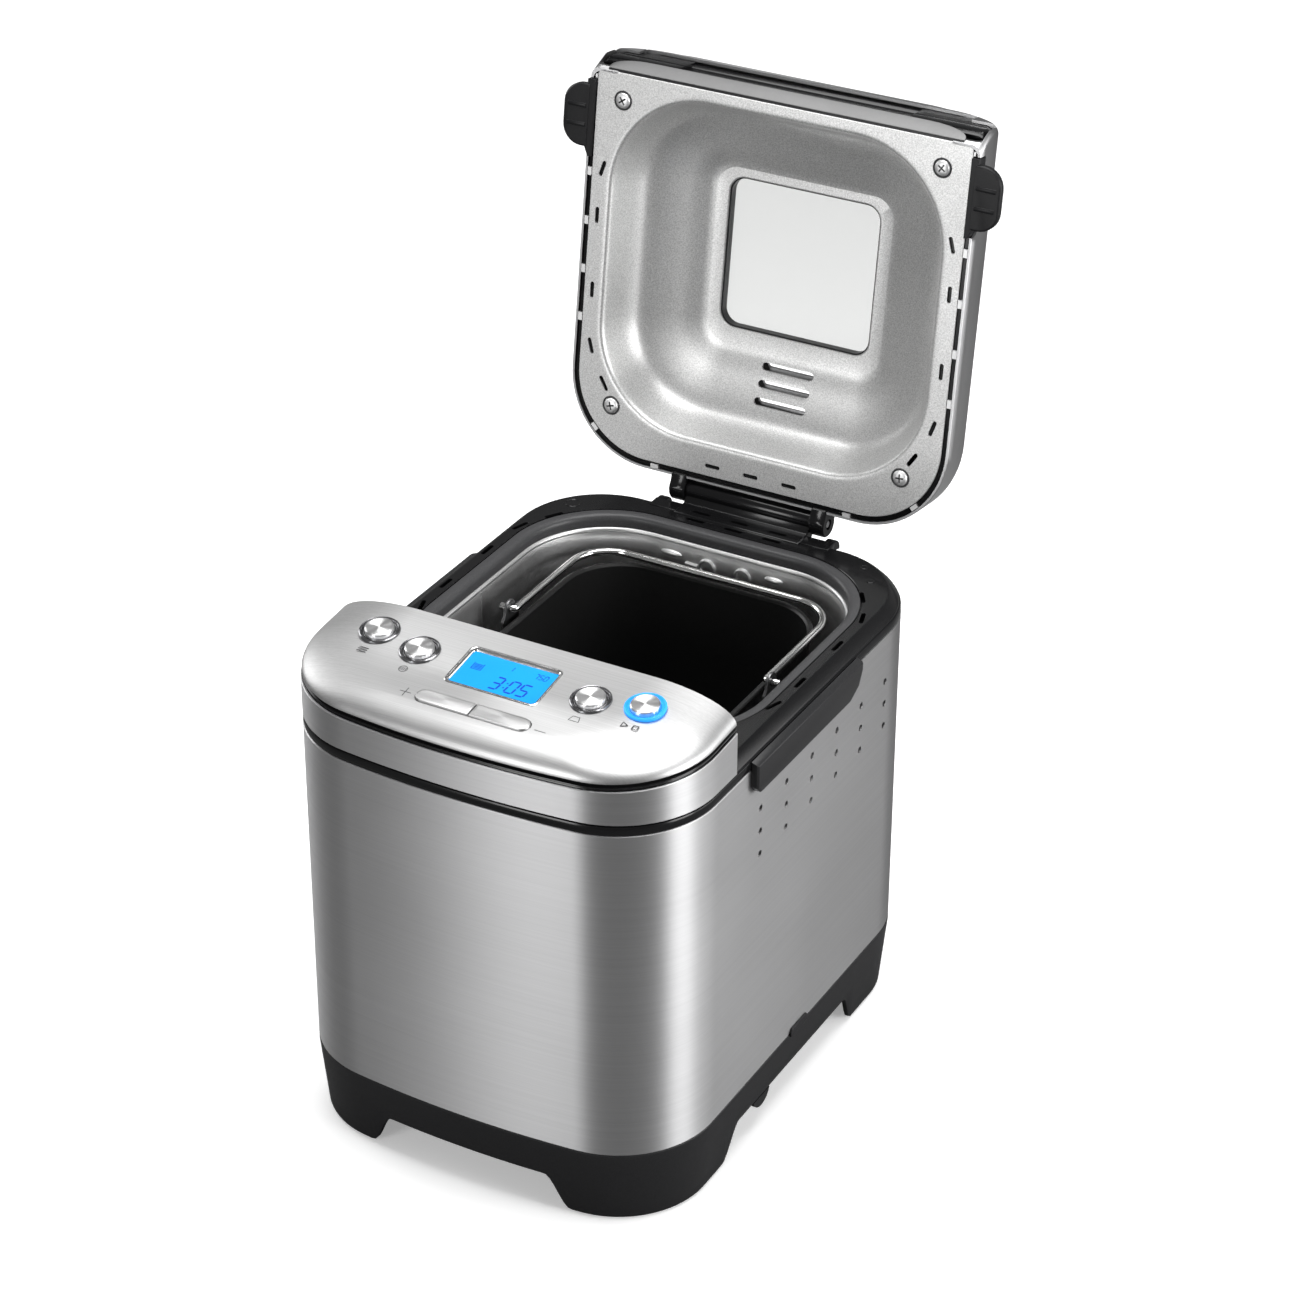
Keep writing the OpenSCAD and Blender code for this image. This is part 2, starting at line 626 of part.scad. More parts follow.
// ---------- deck ----------
module deck_ring() {
    lip = 6.5;
    t = 2;
    edge = 0.8;
    opening = box_pts(chamber_hx, chamber_y0, chamber_y1, chamber_r);
    color(black) difference() {
        union() {
            prism(body_pts(0.1), wrap_top, deck_edge_z);
            difference() {
                loft([at_z(body_pts(edge), deck_edge_z - 0.5), at_z(body_pts(edge), deck_edge_z + 0.6),
                    at_z(body_pts(deck_bevel - 1), deck_z - 0.6), at_z(body_pts(deck_bevel), deck_z)]);
                box(-body_w, body_w, front_y - over, head_y + 4.5, deck_edge_z, deck_z + over);
            }
        }
        prism(opening, wrap_top - over, deck_z + over);
        // hollow underside, with room for the chamber's flange
        prism(box_pts(chamber_hx + lip, chamber_y0 - lip, chamber_y1 + lip, chamber_r + lip),
            wrap_top - over, rim_z + touch);
        loft([at_z(body_pts(deck_bevel + t), wrap_top - over),
            at_z(body_pts(deck_bevel + t + 1), rim_z + touch)]);
        // room for the wires up into the control head
        box(-half_w + 22, half_w - 22, front_y + 20, chamber_y0 - 12, wrap_top - over, deck_z + over);
        for (p = slot_places) translate([p[0], p[1], 0]) rotate([0, 0, p[2]])
            slot_cut(slot_l, slot_w, deck_z - 2.4, deck_z + over);
        // seam between the border and the flange round the opening
        difference() {
            prism(box_pts(chamber_hx + lip + 0.6, chamber_y0 - lip - 0.6, chamber_y1 + lip + 0.6,
                chamber_r + lip + 0.6), deck_z - 0.8, deck_z + over);
            prism(box_pts(chamber_hx + lip, chamber_y0 - lip, chamber_y1 + lip,
                chamber_r + lip), deck_z - over, deck_z + 2 * over);
        }
        // pocket that the lid's hinge ears swing in
        for (s = [-1, 1]) translate([s * ear_x, hinge_y, hinge_z])
            rotate([0, 90, 0]) cylinder(r = 9.8, h = ear_w + 2 * gap, center = true);
    }
    // bracket and knuckle of the hinge, with a bore for the pin
    color(black) difference() {
        union() {
            translate([0, hinge_y, hinge_z]) rotate([0, 90, 0])
                cylinder(r = 5.4, h = 2 * knuckle_half, center = true);
            translate([-knuckle_half, 0, 0]) rotate([90, 0, 90]) linear_extrude(2 * knuckle_half)
                polygon([[rear_y - 12.5, deck_z], [rear_y - 11.6, deck_z + 0.9], [rear_y - 0.8, deck_z + 1.2],
                    [hinge_y - 5.1, hinge_z - 1.8], [hinge_y, hinge_z], [hinge_y + 4, hinge_z - 3.6],
                    [rear_y - 1, deck_z - 9], [rear_y - 1, deck_edge_z - 4.4],
                    [rear_y - 6, deck_edge_z - 4.4], [rear_y - 8, deck_z]]);
            for (s = [-1, 1]) translate([s * (knuckle_half + ear_w + 5), 0, 0]) difference() {
                translate([0, hinge_y - 3, deck_edge_z - 1]) rotate([0, 90, 0])
                    cylinder(r = 6.4, h = 7, center = true);
                box(-9, 9, 0, rear_y - 0.2, 0, 400);
            }
        }
        translate([0, hinge_y, hinge_z]) rotate([0, 90, 0])
            cylinder(r = hinge_pin_r + run_fit, h = body_w, center = true);
    }
}
module hinge_pin() {
    len = 2 * (knuckle_half + ear_w) + 1;
    color(steel) translate([-len / 2, hinge_y, hinge_z]) rotate([0, 90, 0])
        cylinder(r = hinge_pin_r, h = len);
}
trim_l = 115;
trim_z = wrap_top - 13.4;
module side_trim(s) {
    pts = [[-trim_l / 2, 18.6], [-trim_l / 2, 4], [4 - trim_l / 2, 0], [trim_l / 2 - 14, 0],
        [trim_l / 2 - 4, 5], [trim_l / 2, 13], [trim_l / 2, 18.6]];
    color(black) translate([s * (half_w + touch), 0, trim_z]) mirror([s > 0 ? 0 : 1, 0, 0])
        difference() {
            rotate([90, 0, 90]) linear_extrude(4) polygon(pts);
            translate([4.6, 0, 16.4]) rotate([0, 40, 0])
                translate([0, -trim_l / 2 - over, 0]) cube([4, trim_l + 2 * over, 12]);
        }
}
module side_trim_left() { side_trim(-1); }
module side_trim_right() { side_trim(1); }

// ---------- control head ----------
// Wedge that lies under the band's top edge, raised by dz
module under_band(dz) {
    rotate([90, 0, 90]) translate([0, 0, -body_w]) linear_extrude(2 * body_w)
        polygon([[front_y - 20, band_z0 - 30], [head_y, band_z0 - 30], [head_y, band_top(head_y) + dz],
            [front_y - 20, band_top(front_y - 20) + dz]]);
}
module control_band() {
    color(steel) intersection() {
        body_wall(0, sheet_t, band_z0, panel_z);
        under_band(0);
    }
}
module panel_frame() {
    w = wall_t;
    color(black) {
        difference() {
            intersection() {
                union() {
                    body_wall(sheet_t + touch, w, deck_edge_z + touch, panel_z);
                    body_wall(0.5, w, band_z0 + 10, panel_z);
                    box(touch + sheet_t - half_w, half_w - sheet_t - touch, head_y - w, head_y,
                        deck_edge_z + touch, panel_z);
                }
                under_band(groove_h - touch);
                prism(body_pts(0.5), 0, 400);
            }
            // seat of the band's steel
            intersection() {
                body_wall(-over, sheet_t + over + touch, band_z0 - over, panel_z + over);
                under_band(touch);
            }
            // fine groove round the middle of the frame
            translate([0, 0, groove_h * 0.42]) intersection() {
                body_wall(-over, over + 1.3, band_z0 - over, panel_z + over);
                under_band(touch);
                translate([0, 0, 1.1]) difference() {
                    box(-body_w, body_w, front_y - 20, head_y, band_z0, panel_z + 9);
                    translate([0, 0, -2.2]) under_band(touch);
                }
            }
        }
    }
}
// Rings of the cap's pillow: the sides and front roll over onto the sloping panel
function cap_ring(u, t) =
    let (w = half_w - 0.6 - t, d = head_d - 0.6 - t,
        kx = (w - cap_roll * (1 - cos(90 * u))) / half_w,
        ky = (d - cap_front_roll * (1 - cos(90 * u))) / head_d)
    [for (p = head_pts) let (y = head_y - t + (p[1] - head_y) * ky,
        z0 = band_top(y) + groove_h, z1 = panel_at(y) - t)
        [p[0] * kx, y, z0 + (z1 - z0) * sin(90 * u)]];
head_pts = concat([[-half_w, head_y]], arc([-corner_x, corner_y], front_r, 180, 270 - bow_half, 10),
    arc([0, bow_y], bow_r, 270 - 0.75 * bow_half, 270 + 0.75 * bow_half, 6),
    arc([corner_x, corner_y], front_r, 270 + bow_half, 360, 10), [[half_w, head_y]]);
lcd_s = 29;                   // distances down the slope from the panel's rear edge
lcd_border = 1.6;
keys_s = 58;
inner_s = 28.2;
outer_s = 22.6;
module fascia() {
    steps = [0, 0.16, 0.36, 0.6, 0.8, 1];
    color([0.78, 0.78, 0.78]) difference() {
        loft([for (u = steps) cap_ring(u, 0)]);
        loft(concat([[for (p = cap_ring(0, 1.6)) p - [0, 0, 3]]], [for (u = steps) cap_ring(u, 1.6)]));
        for (x = [-1, 1]) {
            on_panel(x * button_inner_x, inner_s, -8) rod(ring_r + touch, 20);
            on_panel(x * button_outer_x, outer_s, -8) rod(ring_r + touch, 20);
        }
        on_panel(0, lcd_s, -6) linear_extrude(20) square([lcd_w + 0.2, lcd_h + 0.2], center = true);
        on_panel(0, keys_s, -6) slot_cut(keys_l + 1, keys_w + 1, 0, 20);
    }
}
module lcd_bezel() {
    color([0.85, 0.85, 0.86]) on_panel(0, lcd_s, -2.4) difference() {
        linear_extrude(2.9) square([lcd_w, lcd_h], center = true);
        translate([0, 0, -over]) linear_extrude(6)
            square([lcd_w - 2 * lcd_border, lcd_h - 2 * lcd_border], center = true);
    }
}
module lcd_window() {
    b = lcd_border + touch;
    color([0.5, 0.75, 0.95, 0.5]) on_panel(0, lcd_s, -1.6) linear_extrude(1.2)
        square([lcd_w - 2 * b, lcd_h - 2 * b], center = true);
}
module lcd_module() {
    color([0.1, 0.6, 0.95]) on_panel(0, lcd_s, -6.4) linear_extrude(4)
        square([lcd_w + 4, lcd_h + 4], center = true);
}
pcb_h = -12;                  // middle of the board, below the panel
switch_w = 6;
switch_h = 3;
stem_foot = pcb_h + switch_h + press + touch;  // a stem's lower end just clears its switch when pressed
module switch_at(x, s) {
    on_panel(x, s, pcb_h + switch_h / 2) cube([switch_w, switch_w, switch_h], center = true);
}
module control_pcb() {
    color([0.1, 0.4, 0.2]) on_panel(0, head_d / 2 - 3, pcb_h) difference() {
        translate([0, 0, -0.8]) cube([body_w - 54, 56, 1.6], center = true);
        for (x = [-1, 1], y = [-1, 1]) translate([x * (half_w - 31), y * 24, -3]) rod(1.6, 6);
    }
    color([0.2, 0.2, 0.2]) {
        for (x = [-1, 1]) {
            switch_at(x * button_inner_x, inner_s);
            switch_at(x * button_outer_x, outer_s);
            switch_at(x * keys_l / 4, keys_s);
        }
        on_panel(0, lcd_s, pcb_h + 2.7) cube([40, 18, 5.4], center = true);
    }
}
module power_pcb() {
    y = chamber_y0 - 24;
    color([0.1, 0.35, 0.18]) box(22, half_w - 16, y, y + 1.6, chassis_z + 14, chassis_z + 112);
    color([0.2, 0.2, 0.22]) {
        box(30, 58, y - 24, y, chassis_z + 22, chassis_z + 48);
        box(66, 84, y - 14, y, chassis_z + 24, chassis_z + 40);
        translate([40, y, chassis_z + 76]) rotate([90, 0, 0]) cylinder(r = 8, h = 20);
        box(62, 86, y - 10, y, chassis_z + 62, chassis_z + 96);
    }
    color([0.6, 0.6, 0.62]) for (x = [26, half_w - 20])
        box(x - 2, x + 2, y + 1.6, y + 8, chassis_z + chassis_t + touch, chassis_z + 20);
}
// A turned ring with a stepped collar round a button
module button_ring() {
    bore = button_r + 0.35;
    difference() {
        union() {
            translate([0, 0, -4]) rod(ring_r, 4.6);
            translate([0, 0, 0.5]) cylinder(r1 = ring_r, r2 = ring_r - 0.9, h = 0.9);
            translate([0, 0, -6]) rod(ring_r - 1.2, 2.1);
        }
        translate([0, 0, -8]) rod(bore, 20);
    }
}
module button_rings() {
    color([0.45, 0.45, 0.47]) {
        for (x = [-1, 1]) on_panel(x * button_inner_x, inner_s) button_ring();
        on_panel(-button_outer_x, outer_s) button_ring();
    }
}
module start_light_ring() {
    color([0.2, 0.6, 1]) on_panel(button_outer_x, outer_s) button_ring();
}
cap_foot = -6.5;
module button(x, s) {
    color([0.86, 0.86, 0.87]) {
        on_panel(x, s, cap_foot) rod(button_r, 9.2);
        on_panel(x, s, cap_foot + 9.1) cylinder(r1 = button_r, r2 = button_r - 0.7, h = 0.7);
        on_panel(x, s, stem_foot) rod(2, cap_foot + touch - stem_foot);
    }
}
module menu_button() { button(-button_outer_x, outer_s); }
module crust_button() { button(-button_inner_x, inner_s); }
module weight_button() { button(button_inner_x, inner_s); }
module start_button() { button(button_outer_x, outer_s); }
key_foot = -6;
key_top = 1.2;
module key(s) {
    l = keys_l / 2;
    r = keys_w / 2;
    color([0.8, 0.8, 0.8]) on_panel(0, keys_s) mirror([s > 0 ? 0 : 1, 0, 0]) {
        box(0.4, l - r, -r, r, key_foot, key_top);
        intersection() {
            translate([l - r, 0, key_foot]) rod(r, key_top - key_foot);
            box(l - r, l, -keys_w, keys_w, key_foot, key_top);
        }
        translate([l / 2, 0, stem_foot]) rod(1.6, key_foot + touch - stem_foot);
    }
}
module plus_key() { key(-1); }
module minus_key() { key(1); }

// ---------- pan ----------
pan_base_top = pan_floor - touch;
pan_rim = 2;                  // how far the rolled rim stands out of the wall
bail_z = pan_top + 4;
module pan_body() {
    t = pan_t;
    rim = pan_rim;
    function ring(o, l, z) = at_z(box_pts(pan_hx + o - l, drive_y - pan_hy - o + l,
        drive_y + pan_hy + o - l, pan_r + o), z);
    color([0.12, 0.12, 0.12]) difference() {
        loft([ring(-6, pan_lean, pan_floor), ring(-1.5, pan_lean, pan_floor + 2),
            ring(0, pan_lean, pan_floor + 6), ring(0, 0, pan_top - 3), ring(rim, 0, pan_top - 2.4),
            ring(rim, 0, pan_top - 0.6), ring(rim - 0.8, 0, pan_top)]);
        loft([ring(-6 - t, pan_lean, pan_floor + t), ring(-1.5 - t, pan_lean, pan_floor + 2 + t),
            ring(-t, pan_lean, pan_floor + 6 + t), ring(-t, 0, pan_top - 3), ring(-t, 0, pan_top + over)]);
        translate([0, drive_y, pan_floor - over]) rod(8, 6);
    }
}
module pan_base() {
    z0 = floor_z + chamber_t + touch + 2.3;
    color([0.3, 0.3, 0.31]) translate([0, drive_y, z0]) difference() {
        union() {
            rod(socket_r + 3, pan_base_top - z0);
            translate([0, 0, pan_base_top - z0 - 2]) rod(socket_r + 12, 2);
        }
        translate([0, 0, -over]) rod(socket_r - 0.4, pan_base_top - z0 - 1.5);
        translate([0, 0, -over]) rod(8, 40);
    }
}
module pan_ears() {
    t = 1.6;
    x0 = bail_x + bail_r + gap;
    web_z = pan_top - 13;
    color([0.55, 0.55, 0.56]) for (s = [-1, 1]) translate([0, drive_y, 0])
        mirror([s > 0 ? 0 : 1, 0, 0]) difference() {
            union() {
                box(x0, x0 + t, -8, 8, web_z, pan_top + 2);
                box(pan_hx + touch, x0 + t, -8, 8, web_z, web_z + t);
                translate([x0, 0, bail_z]) rotate([0, 90, 0]) cylinder(r = 5, h = t);
            }
            translate([x0 - over, 0, bail_z]) rotate([0, 90, 0])
                cylinder(r = bail_r + run_fit, h = t + 2 * over);
        }
}
module pan_bush() {
    color([0.72, 0.6, 0.4]) translate([0, drive_y, pan_floor + 0.2]) difference() {
        union() {
            translate([0, 0, pan_t]) rod(11, 3);
            rod(7.9, 5);
            translate([0, 0, -2.2]) rod(7.9, 3);
        }
        translate([0, 0, -3]) rod(spindle_r + run_fit, 20);
    }
}
bail_x = pan_hx + 3;          // the arms run just outside the pan's wall, over its rim
bail_l = pan_hy - 0.5;
bail_bend = 22;
module wire(a, b) {
    d = b - a;
    translate(a) rotate([0, acos(d[2] / norm(d)), atan2(d[1], d[0])])
        cylinder(r = bail_r, h = norm(d), $fn = 24);
}
module pan_bail() {
    y0 = drive_y;
    y1 = drive_y + bail_l;
    peg = bail_r + gap + 6.2;
    color(steel) translate([0, 0, bail_z]) {
        for (s = [-1, 1]) {
            wire([s * bail_x, y0, 0], [s * (bail_x + peg), y0, 0]);
            translate([s * bail_x, y0, 0]) sphere(bail_r, $fn = 24);
            wire([s * bail_x, y0, 0], [s * bail_x, y1 - bail_bend, 0]);
            translate([s * (bail_x - bail_bend), y1 - bail_bend, 0])
                rotate([0, 0, s > 0 ? 0 : 90]) rotate_extrude(angle = 90, $fn = 64)
                    translate([bail_bend, 0]) circle(bail_r, $fn = 24);
        }
        wire([bail_bend - bail_x, y1, 0], [bail_x - bail_bend, y1, 0]);
    }
}
dog_z = coupler_z + coupler_h + gap;
module pan_spindle() {
    z1 = pan_floor + 22;
    color(steel) translate([0, drive_y, 0]) {
        translate([0, 0, dog_z + dog_h + 0.2]) rod(spindle_r, z1 - dog_z - dog_h - 0.2);
        translate([0, 0, dog_z + dog_h]) rod(7.4, 1.6);
        for (a = [90, 270]) rotate([0, 0, a]) translate([3, -2, dog_z]) cube([4.2, 4, dog_h + 0.2]);
    }
}
module kneading_paddle() {
    z0 = pan_floor + pan_t + 3.6;
    color([0.1, 0.1, 0.1]) translate([0, drive_y, z0]) difference() {
        union() {
            cylinder(r1 = 10, r2 = 8, h = 15);
            translate([2, 0, 0]) rotate([90, 0, 0]) linear_extrude(4, center = true)
                polygon([[0, 0], [blade_l, 0], [blade_l - 2, 9], [blade_l - 16, 26],
                    [blade_l - 24, 26], [6, 14]]);
        }
        translate([0, 0, -over]) rod(spindle_r + touch, 50);
    }
}

// ---------- lid, drawn shut and then opened ----------
// Rings of the lid's skin: side wall, rolled edge, then a low dome up to the window
function lid_ring(i, f, r, h, t = 0) =
    at_z(lid_pts(half_w - i - t, shell_y0 + f + t, shell_y1 - r - t, 5, shell_r - min(i, 30) * 0.4 - t),
        lid_z + h - t);
function lid_slant(h, t) =
    at_z(lid_pts(half_w - t, shell_y0 + t + (12 - h) * 0.55, shell_y1 - t, 5, shell_r - t), lid_z + h);
// [inset at the sides, at the front, at the rear, height]
lid_steps = [[0, 0, 0, lid_side_h], [1.5, 0, 2, lid_side_h + 4], [6, 0, 6, lid_side_h + 8],
    [16, 0, 14, lid_side_h + 12], [30, 0.5, 28, lid_side_h + 15], [44, 2, 40, lid_side_h + 16.8],
    [50, 20, 46, lid_side_h + 19.5], [56, 38, 56, lid_dome_h - 3],
    [60, lid_crown_y - shell_y0, 64, lid_dome_h]];
// The lid's solid shape, moved inwards by t, from height z0
module lid_solid(t, z0) {
    loft(concat([lid_slant(z0, t), lid_slant(12, t)],
        [for (s = lid_steps) lid_ring(s[0], s[1], s[2], s[3], t)]));
}
lip_half = half_w - 16;       // half the length of the shell's front lip
lip_z = lid_z + 30;
cheek_t = 2.2;                // steel left at each end of the open front
cheek_z = lid_z + 22;
module lid_shell() {
    color([0.76, 0.76, 0.77]) open_lid() difference() {
        lid_solid(0, 0);
        lid_solid(shell_t, -over);
        // open front below the lip, and round the liner's folded edge
        box(-lip_half, lip_half, shell_y0 - over, shell_y0 + 8, lid_z - over, lip_z);
        box(cheek_t - half_w, half_w - cheek_t, shell_y0 - over, shell_y0 + 5, lid_z - over, cheek_z);
        box(-fold_half - 0.5, fold_half + 0.5, shell_y0 - over, shell_y0 + 9, lid_z - over,
            lid_z + fold_h + 1);
        for (s = [-1, 1]) translate([s * ear_x, 0, 0])
            box(-ear_w / 2 - gap, ear_w / 2 + gap, shell_y1 - 3, shell_y1 + over, lid_z - over, lid_z + 13.5);
        // window opening
        prism(box_pts(window_x + 2.2, window_cy - window_y - 2.2, window_cy + window_y + 2.2, 10), 0, 400);
        steam_slots();
        for (s = [-1, 1]) tab_space(s, gap);
    }
}
// Three steam slots behind the window
module steam_slots() {
    for (k = [0:2]) translate([0, window_cy + window_y + 17 + 9 * k, 0])
        slot_cut(31, 4, lid_z + 15, lid_z + 60);
}
tab_y0 = head_y + 16.5;
// Space that a lifting tab's root takes in the lid's side wall
module tab_space(s, g) {
    box(s > 0 ? half_w - 8 : -half_w - over, s > 0 ? half_w + over : 8 - half_w, tab_y0 - 3 - g,
        tab_y0 + tab_l + 5 + g, lid_z - 5, lid_z + 6 + g);
}
frame_h = 7;
module lid_frame() {
    outer = lid_pts(half_w - shell_t - touch, shell_y0 + 8.5, shell_y1 - shell_t - touch, 5, 47);
    inner = lid_pts(half_w - 12, shell_y0 + 20, shell_y1 - 12, 8, 50);
    color(black) open_lid() {
        difference() {
            union() {
                prism(outer, lid_z + 1.2, lid_z + frame_h + 1);
                // rail under the shell's lip, with a cap at each corner that comes further forward
                intersection() {
                    lid_solid(shell_t + 0.2, 0);
                    union() {
                        box(-body_w, body_w, shell_y0 + 3, shell_y0 + 9.5, lid_z + fold_h + 0.4, lip_z - 0.5);
                        for (s = [-1, 1]) translate([s * (half_w - 24.5), 0, 0])
                            box(-22, 22, shell_y0, shell_y0 + 9.5, lid_z + fold_h + 1.4, lip_z - 0.5);
                    }
                }
            }
            difference() {
                prism(inner, lid_z - over, lid_z + frame_h + 3);
                for (p = lid_screw_places) translate([p[0], p[1], lid_z]) rod(4.5, 20);
            }
            for (s = [-1, 1]) tab_space(s, 0.2);
            prism(box_pts(bowl_hx + 3, bowl_y0 - 3, bowl_y1 + 3, 55), lid_z - over, lid_z + 15);
            for (p = lid_screw_places) translate([p[0], p[1], lid_z - over]) rod(pilot_r, 8);
        }
        // hinge ears, with bores for the pin
        for (s = [-1, 1]) translate([s * ear_x, 0, 0]) difference() {
            union() {
                translate([0, hinge_y, hinge_z]) rotate([0, 90, 0])
                    cylinder(r = 7.4, h = ear_w, center = true);
                rotate([90, 0, 90]) linear_extrude(ear_w, center = true)
                    polygon([[hinge_y - 2, hinge_z + 7], [shell_y1 - 10, lid_z + frame_h + 6],
                        [shell_y1 - 10, lid_z + 5], [shell_y1 - 1, lid_z + 3],
                        [hinge_y - 5, hinge_z - 4], [hinge_y + 4, hinge_z - 3]]);
            }
            translate([0, hinge_y, hinge_z]) rotate([0, 90, 0])
                cylinder(r = hinge_pin_r, h = body_w, center = true);
        }
    }
}
bowl_steps = [[0, 0], [2.5, 10], [5, 17], [9, 22.5], [17, 27.5], [26, 31], [37, 35], [43, bowl_h]];
function bowl_ring(i, h, o) = at_z(box_pts(bowl_hx - i + o, bowl_y0 + i * 0.92 - o, bowl_y1 - i + o,
    54 - i * 0.9 + o, 8), lid_z + h + (h > 0 ? o : 0));
module lid_liner() {
    color([0.8, 0.79, 0.77]) open_lid() difference() {
        union() {
            prism(lid_pts(liner_hx, liner_y0, liner_y1, 3, liner_r), lid_z, lid_z + liner_t);
            loft([for (s = bowl_steps) bowl_ring(s[0], s[1], liner_t)]);
            // front flange that leans out to the frame
            rotate([90, 0, 90]) translate([0, 0, -fold_half]) linear_extrude(2 * fold_half)
                polygon([[liner_y0, lid_z], [liner_y0 + 1.3, lid_z], [liner_y0 - 5.4, lid_z + fold_h],
                    [liner_y0 - 6.6, lid_z + fold_h]]);
        }
        loft(concat([bowl_ring(0, -over, 0)], [for (s = bowl_steps) bowl_ring(s[0], s[1], 0)]));
        prism(box_pts(window_x, window_cy - window_y, window_cy + window_y, 9), lid_z + 20, lid_z + 60);
        for (p = slot_places) translate([p[0], p[1] + 3, 0]) rotate([0, 0, p[2]])
            slot_cut(slot_l - 2, slot_w, lid_z - over, lid_z + 4);
        steam_slots();
        for (p = lid_screw_places) translate([p[0], p[1], lid_z - over]) rod(1.8, 5);
    }
}
lid_screw_places = concat(
    [for (s = [-1, 1]) [s * (liner_hx - 16), liner_y0 + 14.5]],
    [for (s = [-1, 1]) [s * (liner_hx - 21.5), liner_y1 - 26.2]]);
module lid_screws() {
    color(steel) open_lid() for (p = lid_screw_places)
        translate([p[0], p[1], lid_z - touch]) screw(1.6, 6, 4.2, 1.5);
}
module window_frame() {
    color([0.13, 0.13, 0.13]) open_lid() difference() {
        union() {
            prism(box_pts(window_x + 4, window_cy - window_y - 4, window_cy + window_y + 4, 11),
                lid_z + bowl_h + liner_t + touch, lid_z + lid_dome_h - 3.4);
            prism(box_pts(window_x + 1.9, window_cy - window_y - 1.9, window_cy + window_y + 1.9, 10),
                lid_z + bowl_h + liner_t + touch, lid_z + lid_dome_h - shell_t - touch);
        }
        prism(box_pts(window_x + 0.4, window_cy - window_y - 0.4, window_cy + window_y + 0.4, 8),
            0, 500);
    }
}
module window_glass() {
    color([0.85, 0.87, 0.87, 0.5]) open_lid()
        prism(box_pts(window_x + 2, window_cy - window_y - 2, window_cy + window_y + 2, 10),
            lid_z + lid_dome_h - shell_t, lid_z + lid_dome_h + 1.2);
}
clip_y = [for (k = [0:3]) liner_y0 + 56 + k * 27];
clip_l = 4.5;
clip_w = 2.4;
// Bright tabs that hold the liner to the frame across the dark gap
module lid_clips() {
    c = cos(45);
    mid_x = (liner_hx - liner_r * (1 - c) + half_w - shell_r + (shell_r - shell_t) * c) / 2;
    mid_y = (liner_y1 - liner_r * (1 - c) + shell_y1 - shell_r + (shell_r - shell_t) * c) / 2;
    z = lid_z + 0.5;
    color([0.85, 0.85, 0.85]) open_lid() for (s = [-1, 1]) {
        for (y = clip_y) translate([s * (liner_hx + gap / 2 + clip_w / 2), y, z])
            cube([clip_w, clip_l, 1], center = true);
        // a short one between the corner and the lifting tab
        translate([s * (liner_hx + gap / 2 + 0.6), liner_y0 + 4.15, z]) cube([1.2, 2.3, 1], center = true);
        translate([s * mid_x, mid_y, z]) rotate([0, 0, -s * 45]) cube([clip_l, 2.2, 1], center = true);
        translate([s * 58, liner_y1 + 1.6, z]) cube([clip_l, 2.2, 1], center = true);
    }
}
tab_r = 11;                   // outer corners of a lifting tab
tab_h = 4.6;
module lid_handle(s) {
    color(black) open_lid() mirror([s > 0 ? 0 : 1, 0, 0]) {
        // root inside the side wall
        y0 = tab_y0 - 3;
        y1 = tab_y0 + tab_l + 5;
        box(liner_hx + gap, half_w + 0.6, y0, y1, lid_z - 2.5, lid_z + 5.8);
        box(half_w - 7.5, half_w, y0, y1, lid_z + liner_t + gap, lid_z + 5.8);
        difference() {
            translate([half_w, tab_y0 + tab_l / 2, lid_z - 3]) linear_extrude(tab_h)
                polygon(concat([[0, -tab_l / 2]],
                    arc([tab_out - tab_r, tab_r - tab_l / 2], tab_r, 270, 360, 6),
                    arc([tab_out - tab_r, tab_l / 2 - tab_r], tab_r, 0, 90, 6), [[0, tab_l / 2]]));
            // finger grooves that leave two ribs
            for (k = [-1:1]) translate([half_w + 2, tab_y0 + tab_l / 2 + k * 10.5, lid_z - 3.6])
                box(0, tab_out - 5.4 - abs(k) * 1.6, -4, 4, 0, 1.4);
        }
    }
}
module lid_handle_left() { lid_handle(-1); }
module lid_handle_right() { lid_handle(1); }

// The origin lies on the floor in the middle of everything, the open lid included
lid_back_y = hinge_y + (lid_crown_y - hinge_y) * cos(lid_open)
    + (lid_z + lid_dome_h - hinge_z) * sin(lid_open);
middle_y = (front_y + lid_back_y) / 2;
translate([0, -middle_y, 0]) {
    base_tray();
    rubber_feet();
    bottom_cover();
    base_screws();
    chassis_plate();
    motor_body();
    motor_shaft();
    motor_pulley();
    motor_fan();
    drive_belt();
    large_pulley();
    drive_shaft();
    drive_coupler();
    bearing_housing();
    shaft_bush();
    oven_chamber();
    heater_element();
    heater_brackets();
    temperature_sensor();
    pan_socket();
    outer_casing();
    casing_clips();
    cord_gland();
    deck_ring();
    side_trim_left();
    side_trim_right();
    control_band();
    panel_frame();
    fascia();
    lcd_bezel();
    lcd_window();
    lcd_module();
    control_pcb();
    power_pcb();
    button_rings();
    start_light_ring();
    menu_button();
    crust_button();
    weight_button();
    start_button();
    plus_key();
    minus_key();
    pan_body();
    pan_base();
    pan_ears();
    pan_bush();
    pan_bail();
    pan_spindle();
    kneading_paddle();
    hinge_pin();
    lid_shell();
    lid_frame();
    lid_liner();
    window_glass();
    window_frame();
    lid_screws();
    lid_clips();
    lid_handle_left();
    lid_handle_right();
}
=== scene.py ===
"""Looks of the bread machine: brushed shells, dark mouldings, pearl lid liner and a lit display."""
import json
import math
import bpy
import bmesh
from mathutils import Matrix, Vector


